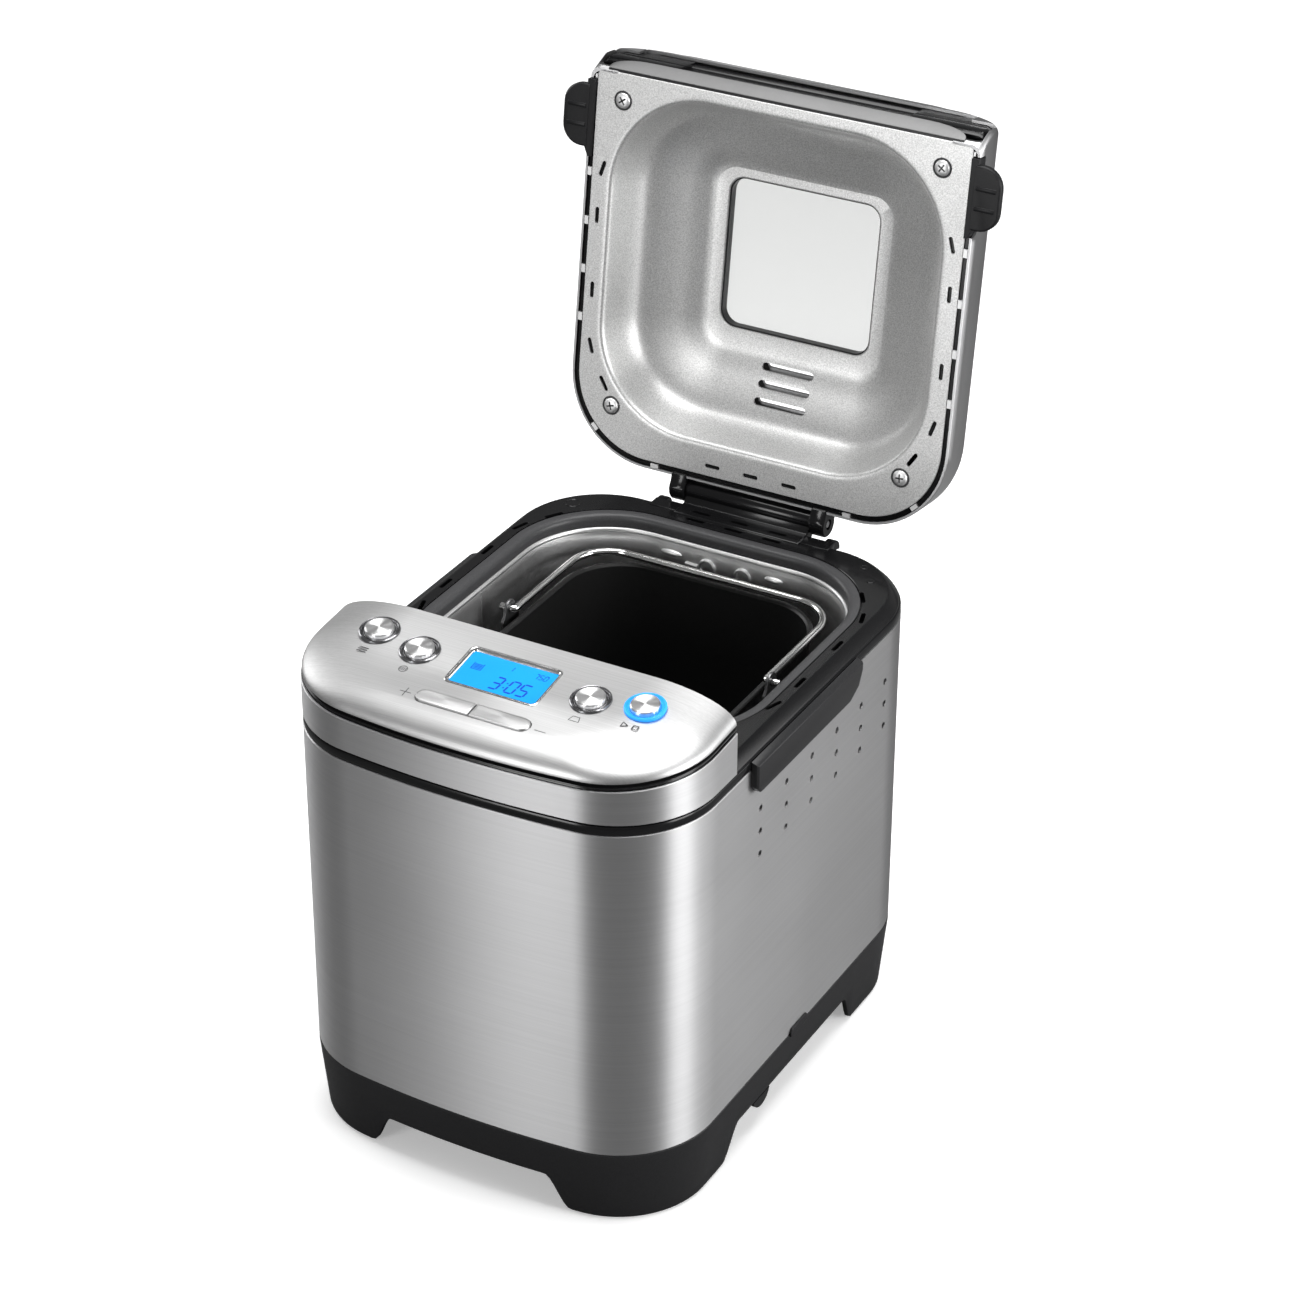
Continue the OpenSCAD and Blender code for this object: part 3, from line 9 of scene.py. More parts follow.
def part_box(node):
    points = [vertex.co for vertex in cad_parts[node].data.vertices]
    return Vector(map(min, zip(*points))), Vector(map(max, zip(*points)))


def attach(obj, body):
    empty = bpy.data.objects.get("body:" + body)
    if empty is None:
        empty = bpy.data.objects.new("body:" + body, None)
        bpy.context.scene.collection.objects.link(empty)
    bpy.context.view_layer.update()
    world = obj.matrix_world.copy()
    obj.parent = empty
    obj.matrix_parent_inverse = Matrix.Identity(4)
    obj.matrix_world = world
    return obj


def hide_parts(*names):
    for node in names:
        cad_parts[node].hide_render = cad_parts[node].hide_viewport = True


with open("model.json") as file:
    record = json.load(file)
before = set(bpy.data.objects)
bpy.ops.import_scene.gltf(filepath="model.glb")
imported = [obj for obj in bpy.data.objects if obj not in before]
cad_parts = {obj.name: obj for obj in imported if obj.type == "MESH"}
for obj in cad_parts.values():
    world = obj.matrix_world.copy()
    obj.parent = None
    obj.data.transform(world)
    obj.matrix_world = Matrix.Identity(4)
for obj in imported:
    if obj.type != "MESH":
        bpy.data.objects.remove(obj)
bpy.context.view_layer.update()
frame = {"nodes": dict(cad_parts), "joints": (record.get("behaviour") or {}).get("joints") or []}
nodes = frame["nodes"]
MM = 0.001


# ---------- sizes, in millimetres, from the frame and the moulds' own values ----------
# pieces are drawn about the body's own middle, which lies this far in front of the frame's origin
MIDDLE_Y = -sum(corner.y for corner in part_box("outer_casing")) / 2 / MM


def mm_box(node):
    return [[c.x / MM, c.y / MM + MIDDLE_Y, c.z / MM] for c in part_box(node)]


casing_lo, casing_hi = mm_box("outer_casing")
HALF_W = casing_hi[0]
FRONT_Y, REAR_Y = casing_lo[1], casing_hi[1]
BASE_H = mm_box("base_tray")[1][2]
WRAP_TOP = casing_hi[2]
SHEET = 1.2                     # sheet of the wrap and band
FRONT_R, REAR_R, BOW_R = 53.4, 52.6, 600.0
HEAD_Y = mm_box("control_band")[1][1]
BAND_Z0 = mm_box("control_band")[0][2]
BAND_H = 17.8
BAND_SLOPE = math.tan(math.radians(4.1))
GROOVE_H = 4.2
DECK_EDGE = WRAP_TOP + 5.2
DECK_Z = DECK_EDGE + 6.1
DECK_BEVEL = 6.5
CHAMBER_X = mm_box("oven_chamber")[1][0] - 5
CHAMBER_Y0 = mm_box("oven_chamber")[0][1] + 5
CHAMBER_Y1 = mm_box("oven_chamber")[1][1] - 5
CHAMBER_R = 50.0
RIM_Z = mm_box("oven_chamber")[1][2]
CHAMBER_FLOOR = mm_box("oven_chamber")[0][2]
DRIVE_Y = (CHAMBER_Y0 + CHAMBER_Y1) / 2
PANEL_SLOPE = math.radians(8.5)
PANEL_Z = BAND_Z0 + BAND_H + (HEAD_Y - FRONT_Y) * BAND_SLOPE + GROOVE_H + 14.0
lid_joint = next(j for j in frame["joints"] if j["name"] == "lid_hinge")
HINGE_Y, HINGE_Z = lid_joint["pos_m"][1] / MM + MIDDLE_Y, lid_joint["pos_m"][2] / MM
LID_OPEN = math.radians(98.0)
LID_Z = DECK_Z + 1.96


# ---------- outlines ----------
def arc(cx, cy, r, a0, a1, n):
    return [(cx + r * math.cos(math.radians(a0 + (a1 - a0) * i / n)),
             cy + r * math.sin(math.radians(a0 + (a1 - a0) * i / n))) for i in range(n + 1)]


def join(parts, straights):
    """Arcs in order round a loop; straights[i] extra points run from arc i to the next one."""
    loop = []
    for i, part in enumerate(parts):
        loop += part
        a, b = part[-1], parts[(i + 1) % len(parts)][0]
        n = straights[i]
        loop += [(a[0] + (b[0] - a[0]) * k / (n + 1), a[1] + (b[1] - a[1]) * k / (n + 1))
                 for k in range(1, n + 1)]
    return loop


def bow_centre():
    """Centre of the bowed front, and of the front corner that it runs into."""
    cx = HALF_W - FRONT_R
    by = FRONT_Y + BOW_R
    return by, cx, by - math.sqrt((BOW_R - FRONT_R) ** 2 - cx * cx)


def body_loop(inset, corner=20, side=72, back=40, bow=56):
    by, cx, cy = bow_centre()
    a = math.degrees(math.asin(cx / (BOW_R - FRONT_R)))
    r, q = FRONT_R - inset, REAR_R - inset
    qx, qy = HALF_W - REAR_R, REAR_Y - REAR_R
    return join([arc(0, by, BOW_R - inset, 270 - a, 270 + a, bow)[1:-1],
                 arc(cx, cy, r, 270 + a, 360, corner), arc(qx, qy, q, 0, 90, corner),
                 arc(-qx, qy, q, 90, 180, corner), arc(-cx, cy, r, 180, 270 - a, corner)],
                [0, side, back, side, 0])


def head_path(inset, corner=20, side=8, bow=56):
    """Open path round the front, from the head's left rear edge to its right rear edge."""
    by, cx, cy = bow_centre()
    a = math.degrees(math.asin(cx / (BOW_R - FRONT_R)))
    r = FRONT_R - inset
    left = arc(-cx, cy, r, 180, 270 - a, corner)
    right = arc(cx, cy, r, 270 + a, 360, corner)
    run = [(left[0][0], HEAD_Y + (left[0][1] - HEAD_Y) * k / side) for k in range(side)]
    return (run + left + arc(0, by, BOW_R - inset, 270 - a, 270 + a, bow)[1:-1] + right
            + [(-x, y) for x, y in reversed(run)])


def rounded(hx, y0, y1, rf, rr, corner=16, side=24, cross=24):
    """Rounded rectangle with front corners rf and rear corners rr."""
    return join([arc(hx - rf, y0 + rf, rf, 270, 360, corner), arc(hx - rr, y1 - rr, rr, 0, 90, corner),
                 arc(rr - hx, y1 - rr, rr, 90, 180, corner), arc(rf - hx, y0 + rf, rf, 180, 270, corner)],
                [side, cross, side, cross])


def at_z(loop, z):
    if callable(z):
        return [(x, y, z(x, y)) for x, y in loop]
    return [(x, y, z) for x, y in loop]


def band_top(y):
    return BAND_Z0 + BAND_H + (y - FRONT_Y) * BAND_SLOPE


def panel_at(y):
    return PANEL_Z + (y - HEAD_Y) * math.tan(PANEL_SLOPE)


def smooth_profile(points, steps):
    """A Catmull-Rom curve through the points of a profile."""
    out = []
    for i in range(len(points) - 1):
        p0 = points[max(i - 1, 0)]
        p1, p2 = points[i], points[i + 1]
        p3 = points[min(i + 2, len(points) - 1)]
        for k in range(steps):
            t = k / steps
            out.append(tuple(0.5 * (2 * b + (c - a) * t + (2 * a - 5 * b + 4 * c - d) * t * t
                                    + (3 * b - a - 3 * c + d) * t ** 3)
                             for a, b, c, d in zip(p0, p1, p2, p3)))
    return out + [tuple(points[-1])]


# ---------- meshes ----------
def new_object(name, mesh):
    obj = bpy.data.objects.new(name, mesh)
    bpy.context.scene.collection.objects.link(obj)
    return obj


def finish_mesh(name, bm, place=None, sharp=34, recalc=True):
    """Turns a bmesh in millimetres into an object in metres with smooth faces and sharp creases."""
    bmesh.ops.remove_doubles(bm, verts=bm.verts, dist=0.0005)
    bmesh.ops.dissolve_degenerate(bm, edges=bm.edges, dist=0.0005)
    if recalc:
        bmesh.ops.recalc_face_normals(bm, faces=bm.faces)
    if place is not None:
        bm.transform(place)
    bm.transform(Matrix.Scale(MM, 4))
    crease(bm, sharp)
    mesh = bpy.data.meshes.new(name)
    bm.to_mesh(mesh)
    bm.free()
    return new_object(name, mesh)


FLATS = [Vector((0, 0, 1)), Vector((0, -math.sin(PANEL_SLOPE), math.cos(PANEL_SLOPE)))]


def is_flat(face):
    """A level face, a face on the sloping panel, or one that a cut left with many corners."""
    return len(face.verts) > 4 or any(abs(face.normal.dot(n)) > 0.9999 for n in FLATS)


def crease(bm, sharp, flat_sharp=12):
    """Smooth faces with sharp creases, and sharper ones round flat faces."""
    bm.normal_update()
    for f in bm.faces:
        f.smooth = True
    limit, flat_limit = math.radians(sharp), math.radians(flat_sharp)
    for e in bm.edges:
        if len(e.link_faces) != 2:
            e.smooth = True
            continue
        flat = is_flat(e.link_faces[0]) or is_flat(e.link_faces[1])
        e.smooth = e.calc_face_angle(0.0) <= (flat_limit if flat else limit)


def skin(bm, rings, close_u=True, close_v=False, cap_v=False, cap_u=False):
    """Faces between rings of equal length: u runs round a ring, v from ring to ring."""
    verts = [[bm.verts.new(p) for p in ring] for ring in rings]
    n, m = len(verts[0]), len(verts)
    for k in range(m if close_v else m - 1):
        a, b = verts[k], verts[(k + 1) % m]
        for i in range(n if close_u else n - 1):
            j = (i + 1) % n
            bm.faces.new((a[i], a[j], b[j], b[i]))
    if cap_v:
        bm.faces.new(list(reversed(verts[0])))
        bm.faces.new(verts[-1])
    if cap_u:
        bm.faces.new([row[0] for row in verts])
        bm.faces.new([row[-1] for row in reversed(verts)])
    return bm


def lathe(bm, profile, n=64, close=True):
    """Turns (radius, height) points about z; a radius of 0 at an end closes with a pole."""
    rings = []
    for r, z in profile:
        rings.append([(r * math.cos(2 * math.pi * i / n), r * math.sin(2 * math.pi * i / n), z)
                      for i in range(n)])
    body = [ring for ring, (r, z) in zip(rings, profile) if r > 0]
    verts = [[bm.verts.new(p) for p in ring] for ring in body]
    for a, b in zip(verts, verts[1:] + ([verts[0]] if close and profile[0][0] > 0 else [])):
        for i in range(n):
            j = (i + 1) % n
            bm.faces.new((a[i], a[j], b[j], b[i]))
    for end, ring in ((0, verts[0]), (-1, verts[-1])):
        if profile[end][0] == 0:
            pole = bm.verts.new((0, 0, profile[end][1]))
            for i in range(n):
                bm.faces.new((pole, ring[i], ring[(i + 1) % n]))
    return bm


def prism(bm, loop, z0, z1):
    return skin(bm, [at_z(loop, z0), at_z(loop, z1)], cap_v=True)


def block(bm, x0, x1, y0, y1, z0, z1):
    return prism(bm, [(x0, y0), (x1, y0), (x1, y1), (x0, y1)], z0, z1)


def tube(bm, path, r, n=16, close=False):
    """A round wire along 3D points."""
    pts = [Vector(p) for p in path]
    rings = []
    side = None
    for i, p in enumerate(pts):
        a = pts[i - 1] if i > 0 or close else p
        b = pts[(i + 1) % len(pts)] if i < len(pts) - 1 or close else p
        t = (b - a).normalized()
        if side is None:
            side = t.orthogonal().normalized()
        side = (side - t * side.dot(t)).normalized()
        up = t.cross(side)
        rings.append([p + r * (side * math.cos(2 * math.pi * k / n) + up * math.sin(2 * math.pi * k / n))
                      for k in range(n)])
    return skin(bm, rings, close_v=close, cap_v=not close)


def bevel(obj, width, segments=2, angle=40):
    mod = obj.modifiers.new("edge", "BEVEL")
    mod.width = width * MM
    mod.segments = segments
    mod.limit_method = "ANGLE"
    mod.angle_limit = math.radians(angle)
    mod.harden_normals = False
    return mod


def bake_modifiers(obj, sharp=34):
    """Keeps the evaluated shape as the object's own plain mesh."""
    bpy.context.view_layer.update()
    graph = bpy.context.evaluated_depsgraph_get()
    mesh = bpy.data.meshes.new_from_object(obj.evaluated_get(graph))
    obj.modifiers.clear()
    old = obj.data
    obj.data = mesh
    mesh.name = obj.name
    bpy.data.meshes.remove(old)
    bm = bmesh.new()
    bm.from_mesh(mesh)
    crease(bm, sharp)
    bm.to_mesh(mesh)
    bm.free()
    return obj


PANEL = (Matrix.Translation((0, HEAD_Y, PANEL_Z)) @ Matrix.Rotation(PANEL_SLOPE, 4, "X"))
OPEN = (Matrix.Translation((0, HINGE_Y, HINGE_Z)) @ Matrix.Rotation(-LID_OPEN, 4, "X")
        @ Matrix.Translation((0, -HINGE_Y, -HINGE_Z)))


def panel_place(x, s, h=0.0):
    return PANEL @ Matrix.Translation((x, -s, h))


# ---------- geometry node trees ----------
def node_tree(name, sockets):
    """A geometry tree with a mesh in, a mesh out and the named inputs."""
    tree = bpy.data.node_groups.new(name, "GeometryNodeTree")
    tree.interface.new_socket("Geometry", in_out="INPUT", socket_type="NodeSocketGeometry")
    tree.interface.new_socket("Geometry", in_out="OUTPUT", socket_type="NodeSocketGeometry")
    for label, kind, value in sockets:
        socket = tree.interface.new_socket(label, in_out="INPUT", socket_type=kind)
        if value is not None:
            socket.default_value = value
    return tree, tree.nodes.new("NodeGroupInput"), tree.nodes.new("NodeGroupOutput")


def add(tree, kind, **settings):
    node = tree.nodes.new(kind)
    for key, value in settings.items():
        setattr(node, key, value)
    return node


def run_tree(obj, tree, values):
    """Runs a tree on an object with named input values and keeps the result as a plain mesh."""
    mod = obj.modifiers.new(tree.name, "NODES")
    mod.node_group = tree
    for item in tree.interface.items_tree:
        if item.in_out == "INPUT" and item.name in values:
            mod[item.identifier] = values[item.name]
    return bake_modifiers(obj)


def build_set_out():
    """Copies of a shape at marked places, each turned by its mark and a seeded twist of its own."""
    tree, inp, out = node_tree("set_out", [
        ("Shape", "NodeSocketObject", None), ("Size", "NodeSocketFloat", 1.0),
        ("Twist", "NodeSocketFloat", 0.0), ("Seed", "NodeSocketInt", 7),
        ("Finish", "NodeSocketMaterial", None)])
    link = tree.links.new
    shape = add(tree, "GeometryNodeObjectInfo")
    turn = add(tree, "GeometryNodeInputNamedAttribute", data_type="FLOAT_VECTOR")
    turn.inputs["Name"].default_value = "turn"
    place = add(tree, "GeometryNodeInstanceOnPoints")
    spin = add(tree, "FunctionNodeRandomValue", data_type="FLOAT")
    whirl = add(tree, "GeometryNodeRotateInstances")
    axis = add(tree, "ShaderNodeCombineXYZ")
    real = add(tree, "GeometryNodeRealizeInstances")
    paint = add(tree, "GeometryNodeSetMaterial")
    link(inp.outputs["Shape"], shape.inputs["Object"])
    link(inp.outputs["Geometry"], place.inputs["Points"])
    link(shape.outputs["Geometry"], place.inputs["Instance"])
    link(turn.outputs["Attribute"], place.inputs["Rotation"])
    link(inp.outputs["Size"], place.inputs["Scale"])
    link(inp.outputs["Twist"], spin.inputs["Max"])
    link(inp.outputs["Seed"], spin.inputs["Seed"])
    link(spin.outputs["Value"], axis.inputs["Z"])
    link(place.outputs["Instances"], whirl.inputs["Instances"])
    link(axis.outputs["Vector"], whirl.inputs["Rotation"])
    link(whirl.outputs["Instances"], real.inputs["Geometry"])
    link(real.outputs["Geometry"], paint.inputs["Geometry"])
    link(inp.outputs["Finish"], paint.inputs["Material"])
    link(paint.outputs["Geometry"], out.inputs["Geometry"])
    return tree


def build_pierce():
    """Cuts copies of a shape, set at another object's marked points, out of a solid."""
    tree, inp, out = node_tree("pierce", [
        ("Places", "NodeSocketObject", None), ("Shape", "NodeSocketObject", None),
        ("Size", "NodeSocketFloat", 1.0), ("Finish", "NodeSocketMaterial", None)])
    link = tree.links.new
    places = add(tree, "GeometryNodeObjectInfo")
    shape = add(tree, "GeometryNodeObjectInfo")
    turn = add(tree, "GeometryNodeInputNamedAttribute", data_type="FLOAT_VECTOR")
    turn.inputs["Name"].default_value = "turn"
    place = add(tree, "GeometryNodeInstanceOnPoints")
    cut = add(tree, "GeometryNodeMeshBoolean", operation="DIFFERENCE", solver="EXACT")
    real = add(tree, "GeometryNodeRealizeInstances")
    paint = add(tree, "GeometryNodeSetMaterial")
    link(inp.outputs["Places"], places.inputs["Object"])
    link(inp.outputs["Shape"], shape.inputs["Object"])
    link(places.outputs["Geometry"], place.inputs["Points"])
    link(shape.outputs["Geometry"], place.inputs["Instance"])
    link(turn.outputs["Attribute"], place.inputs["Rotation"])
    link(inp.outputs["Size"], place.inputs["Scale"])
    link(inp.outputs["Geometry"], cut.inputs["Mesh 1"])
    link(place.outputs["Instances"], cut.inputs["Mesh 2"])
    link(cut.outputs["Mesh"], real.inputs["Geometry"])
    link(real.outputs["Geometry"], paint.inputs["Geometry"])
    link(inp.outputs["Finish"], paint.inputs["Material"])
    link(paint.outputs["Geometry"], out.inputs["Geometry"])
    return tree


def build_perforate():
    """Drills rows and columns of round holes straight across both side walls of a shell."""
    tree, inp, out = node_tree("perforate", [
        ("Columns", "NodeSocketInt", 6), ("Rows", "NodeSocketInt", 3),
        ("Column pitch", "NodeSocketFloat", 0.028), ("Row pitch", "NodeSocketFloat", 0.013),
        ("Hole radius", "NodeSocketFloat", 0.0018), ("Length", "NodeSocketFloat", 0.3),
        ("Centre", "NodeSocketVector", None), ("Turn", "NodeSocketVector", None),
        ("Finish", "NodeSocketMaterial", None)])
    link = tree.links.new

    def span(count, pitch):
        less = add(tree, "ShaderNodeMath", operation="SUBTRACT")
        less.inputs[1].default_value = 1.0
        size = add(tree, "ShaderNodeMath", operation="MULTIPLY")
        link(inp.outputs[count], less.inputs[0])
        link(less.outputs[0], size.inputs[0])
        link(inp.outputs[pitch], size.inputs[1])
        return size.outputs[0]

    grid = add(tree, "GeometryNodeMeshGrid")
    drill = add(tree, "GeometryNodeMeshCylinder")
    drill.inputs["Vertices"].default_value = 20
    place = add(tree, "GeometryNodeInstanceOnPoints")
    aim = add(tree, "GeometryNodeTransform")
    cut = add(tree, "GeometryNodeMeshBoolean", operation="DIFFERENCE", solver="EXACT")
    real = add(tree, "GeometryNodeRealizeInstances")
    paint = add(tree, "GeometryNodeSetMaterial")
    link(span("Columns", "Column pitch"), grid.inputs["Size X"])
    link(span("Rows", "Row pitch"), grid.inputs["Size Y"])
    link(inp.outputs["Columns"], grid.inputs["Vertices X"])
    link(inp.outputs["Rows"], grid.inputs["Vertices Y"])
    link(inp.outputs["Hole radius"], drill.inputs["Radius"])
    link(inp.outputs["Length"], drill.inputs["Depth"])
    link(grid.outputs["Mesh"], place.inputs["Points"])
    link(drill.outputs["Mesh"], place.inputs["Instance"])
    link(place.outputs["Instances"], aim.inputs["Geometry"])
    link(inp.outputs["Centre"], aim.inputs["Translation"])
    link(inp.outputs["Turn"], aim.inputs["Rotation"])
    link(inp.outputs["Geometry"], cut.inputs["Mesh 1"])
    link(aim.outputs["Geometry"], cut.inputs["Mesh 2"])
    link(cut.outputs["Mesh"], real.inputs["Geometry"])
    link(real.outputs["Geometry"], paint.inputs["Geometry"])
    link(inp.outputs["Finish"], paint.inputs["Material"])
    link(paint.outputs["Geometry"], out.inputs["Geometry"])
    return tree


def marks(name, places, transform=None):
    """A cloud of points in metres with a turn at each: places are (x, y, z, turn about z)."""
    mesh = bpy.data.meshes.new(name)
    frame_turn = transform or Matrix.Identity(4)
    mesh.from_pydata([(frame_turn @ Vector(p[:3])) * MM for p in places], [], [])
    turn = mesh.attributes.new("turn", "FLOAT_VECTOR", "POINT")
    for i, p in enumerate(places):
        turned = frame_turn.to_3x3().normalized() @ Matrix.Rotation(p[3], 3, "Z")
        turn.data[i].vector = turned.to_euler()
    return new_object(name, mesh)


def drop(*objects):
    for obj in objects:
        bpy.data.objects.remove(obj)


SET_OUT, PIERCE, PERFORATE = build_set_out(), build_pierce(), build_perforate()


# ---------- shader groups ----------
def shader_group(name, inputs, outputs):
    tree = bpy.data.node_groups.new(name, "ShaderNodeTree")
    for label, kind, value in inputs:
        socket = tree.interface.new_socket(label, in_out="INPUT", socket_type=kind)
        if value is not None:
            socket.default_value = value
    for label, kind in outputs:
        tree.interface.new_socket(label, in_out="OUTPUT", socket_type=kind)
    return tree, tree.nodes.new("NodeGroupInput"), tree.nodes.new("NodeGroupOutput")


def scaled(tree, vector, x, y, z):
    node = add(tree, "ShaderNodeVectorMath", operation="MULTIPLY")
    tree.links.new(vector, node.inputs[0])
    if isinstance(x, float):
        node.inputs[1].default_value = (x, y, z)
    else:
        mix = add(tree, "ShaderNodeCombineXYZ")
        for socket, value in zip(mix.inputs, (x, y, z)):
            tree.links.new(value, socket)
        tree.links.new(mix.outputs[0], node.inputs[1])
    return node.outputs[0]


def noise(tree, vector, scale, detail=2.0, rough=0.5):
    node = add(tree, "ShaderNodeTexNoise")
    tree.links.new(vector, node.inputs["Vector"])
    node.inputs["Scale"].default_value = scale
    node.inputs["Detail"].default_value = detail
    node.inputs["Roughness"].default_value = rough
    return node.outputs["Fac"]


def maths(tree, operation, a, b=None, clamp=False):
    node = add(tree, "ShaderNodeMath", operation=operation, use_clamp=clamp)
    for socket, value in zip(node.inputs, (a, b)):
        if value is None:
            continue
        if isinstance(value, (int, float)):
            socket.default_value = value
        else:
            tree.links.new(value, socket)
    return node.outputs[0]


def build_brushing():
    """Long fine scratches: stretched noise in two widths, and a slow cloud of handling marks."""
    tree, inp, out = shader_group("brushing", [
        ("Vector", "NodeSocketVector", None), ("Along", "NodeSocketVector", (18.0, 18.0, 2600.0))],
        [("Lines", "NodeSocketFloat"), ("Cloud", "NodeSocketFloat")])
    stretch = add(tree, "ShaderNodeVectorMath", operation="MULTIPLY")
    tree.links.new(inp.outputs["Vector"], stretch.inputs[0])
    tree.links.new(inp.outputs["Along"], stretch.inputs[1])
    fine = noise(tree, stretch.outputs[0], 1.0, 3.0, 0.7)
    broad = noise(tree, scaled(tree, stretch.outputs[0], 0.5, 0.5, 0.16), 1.0, 2.0, 0.6)
    lines = maths(tree, "ADD", maths(tree, "MULTIPLY", fine, 0.62), maths(tree, "MULTIPLY", broad, 0.38))
    tree.links.new(lines, out.inputs["Lines"])
    tree.links.new(noise(tree, inp.outputs["Vector"], 14.0, 3.0, 0.5), out.inputs["Cloud"])
    return tree


def build_speckle():
    """Fine grains for moulded plastic, non-stick coats and pearl paint."""
    tree, inp, out = shader_group("speckle", [
        ("Vector", "NodeSocketVector", None), ("Grain", "NodeSocketFloat", 900.0)],
        [("Grains", "NodeSocketFloat"), ("Cloud", "NodeSocketFloat")])
    size = add(tree, "ShaderNodeVectorMath", operation="SCALE")
    tree.links.new(inp.outputs["Vector"], size.inputs[0])
    tree.links.new(inp.outputs["Grain"], size.inputs["Scale"])
    tree.links.new(noise(tree, size.outputs[0], 1.0, 2.5, 0.65), out.inputs["Grains"])
    tree.links.new(noise(tree, inp.outputs["Vector"], 22.0, 3.0, 0.55), out.inputs["Cloud"])
    return tree


def build_dust():
    """A thin settling of dust on faces that look up, broken up by noise."""
    tree, inp, out = shader_group("dust", [
        ("Vector", "NodeSocketVector", None), ("Normal", "NodeSocketVector", None),
        ("Amount", "NodeSocketFloat", 0.1)], [("Mask", "NodeSocketFloat")])
    part = add(tree, "ShaderNodeSeparateXYZ")
    tree.links.new(inp.outputs["Normal"], part.inputs[0])
    up = maths(tree, "MAXIMUM", part.outputs["Z"], 0.0)
    patch = maths(tree, "SUBTRACT", noise(tree, inp.outputs["Vector"], 160.0, 4.0, 0.7), 0.38, True)
    mask = maths(tree, "MULTIPLY", maths(tree, "MULTIPLY", up, patch), inp.outputs["Amount"], True)
    tree.links.new(mask, out.inputs["Mask"])
    return tree


BRUSHING, SPECKLE, DUST = build_brushing(), build_speckle(), build_dust()


class Finish:
    """A material under construction: a Principled shader, its output and the piece's coordinates."""

    def __init__(self, name, colour, rough, metal=0.0, **sockets):
        self.mat = bpy.data.materials.new(name)
        self.mat.use_nodes = True
        self.mat.diffuse_color = (*colour, 1.0)
        self.tree = self.mat.node_tree
        self.tree.nodes.clear()
        self.shader = add(self.tree, "ShaderNodeBsdfPrincipled")
        output = add(self.tree, "ShaderNodeOutputMaterial")
        self.link(self.shader.outputs[0], output.inputs["Surface"])
        self.colour = colour
        self.rough = rough
        self.set("Base Color", (*colour, 1.0))
        self.set("Roughness", rough)
        self.set("Metallic", metal)
        for key, value in sockets.items():
            self.set(key.replace("_", " "), value)
        self.coords = add(self.tree, "ShaderNodeTexCoord")
        self.heights = []

    def link(self, a, b):
        self.tree.links.new(a, b)

    def set(self, socket, value):
        self.shader.inputs[socket].default_value = value

    def group(self, tree, **values):
        node = add(self.tree, "ShaderNodeGroup", node_tree=tree)
        self.link(self.coords.outputs["Object"], node.inputs["Vector"])
        for key, value in values.items():
            node.inputs[key.replace("_", " ")].default_value = value
        return node

    def shade(self, mask, dark, light, low=0.3, high=0.7):
        """Base Color runs from dark to light times the base colour as the mask rises."""
        ramp = add(self.tree, "ShaderNodeValToRGB")
        ramp.color_ramp.elements[0].position = low
        ramp.color_ramp.elements[1].position = high
        for element, k in zip(ramp.color_ramp.elements, (dark, light)):
            element.color = (*[min(c * k, 1.0) for c in self.colour], 1.0)
        self.link(mask, ramp.inputs["Fac"])
        self.link(ramp.outputs["Color"], self.shader.inputs["Base Color"])
        return ramp

    def tint(self, mask, colour, amount=1.0):
        """Mixes another colour over the Base Color where the mask is high."""
        socket = self.shader.inputs["Base Color"]
        mix = add(self.tree, "ShaderNodeMix", data_type="RGBA")
        if socket.is_linked:
            self.link(socket.links[0].from_socket, mix.inputs["A"])
        else:
            mix.inputs["A"].default_value = (*self.colour, 1.0)
        mix.inputs["B"].default_value = (*colour, 1.0)
        self.link(maths(self.tree, "MULTIPLY", mask, amount, True), mix.inputs["Factor"])
        self.link(mix.outputs["Result"], socket)

    def roughen(self, mask, swing):
        """Roughness varies by the swing about its base value."""
        spread = maths(self.tree, "MULTIPLY", maths(self.tree, "SUBTRACT", mask, 0.5), swing * 2)
        self.link(maths(self.tree, "ADD", spread, self.rough, True), self.shader.inputs["Roughness"])

    def emboss(self, height, strength, distance=0.0002):
        bump = add(self.tree, "ShaderNodeBump")
        bump.inputs["Strength"].default_value = strength
        bump.inputs["Distance"].default_value = distance
        self.link(height, bump.inputs["Height"])
        self.link(bump.outputs["Normal"], self.shader.inputs["Normal"])

    def dusty(self, amount):
        geometry = add(self.tree, "ShaderNodeNewGeometry")
        dust = self.group(DUST, Amount=amount)
        self.link(geometry.outputs["Normal"], dust.inputs["Normal"])
        self.tint(dust.outputs["Mask"], (0.55, 0.54, 0.52))


def brushed(name, colour, rough, along, lines=(0.96, 1.04), bump=0.05, grain=0.5, swing=0.05):
    f = Finish(name, colour, rough, 1.0, Anisotropic=grain, Anisotropic_Rotation=0.25)
    brush = f.group(BRUSHING, Along=along)
    f.shade(brush.outputs["Lines"], *lines, low=0.38, high=0.62)
    f.roughen(brush.outputs["Cloud"], swing)
    f.emboss(brush.outputs["Lines"], bump, 0.00006)
    tangent = add(f.tree, "ShaderNodeTangent", direction_type="RADIAL", axis="Z")
    f.link(tangent.outputs["Tangent"], f.shader.inputs["Tangent"])
    return f.mat


def moulded(name, colour, rough, grain=1100.0, bump=0.12, swing=0.06, coat=0.0, dust=0.01,
            gloss=0.3):
    f = Finish(name, colour, rough, 0.0, Coat_Weight=coat, Coat_Roughness=0.12, Specular_IOR_Level=gloss)
    spots = f.group(SPECKLE, Grain=grain)
    f.shade(spots.outputs["Grains"], 0.85, 1.2)
    f.roughen(spots.outputs["Cloud"], swing)
    f.emboss(spots.outputs["Grains"], bump, 0.00012)
    if dust:
        f.dusty(dust)
    return f.mat


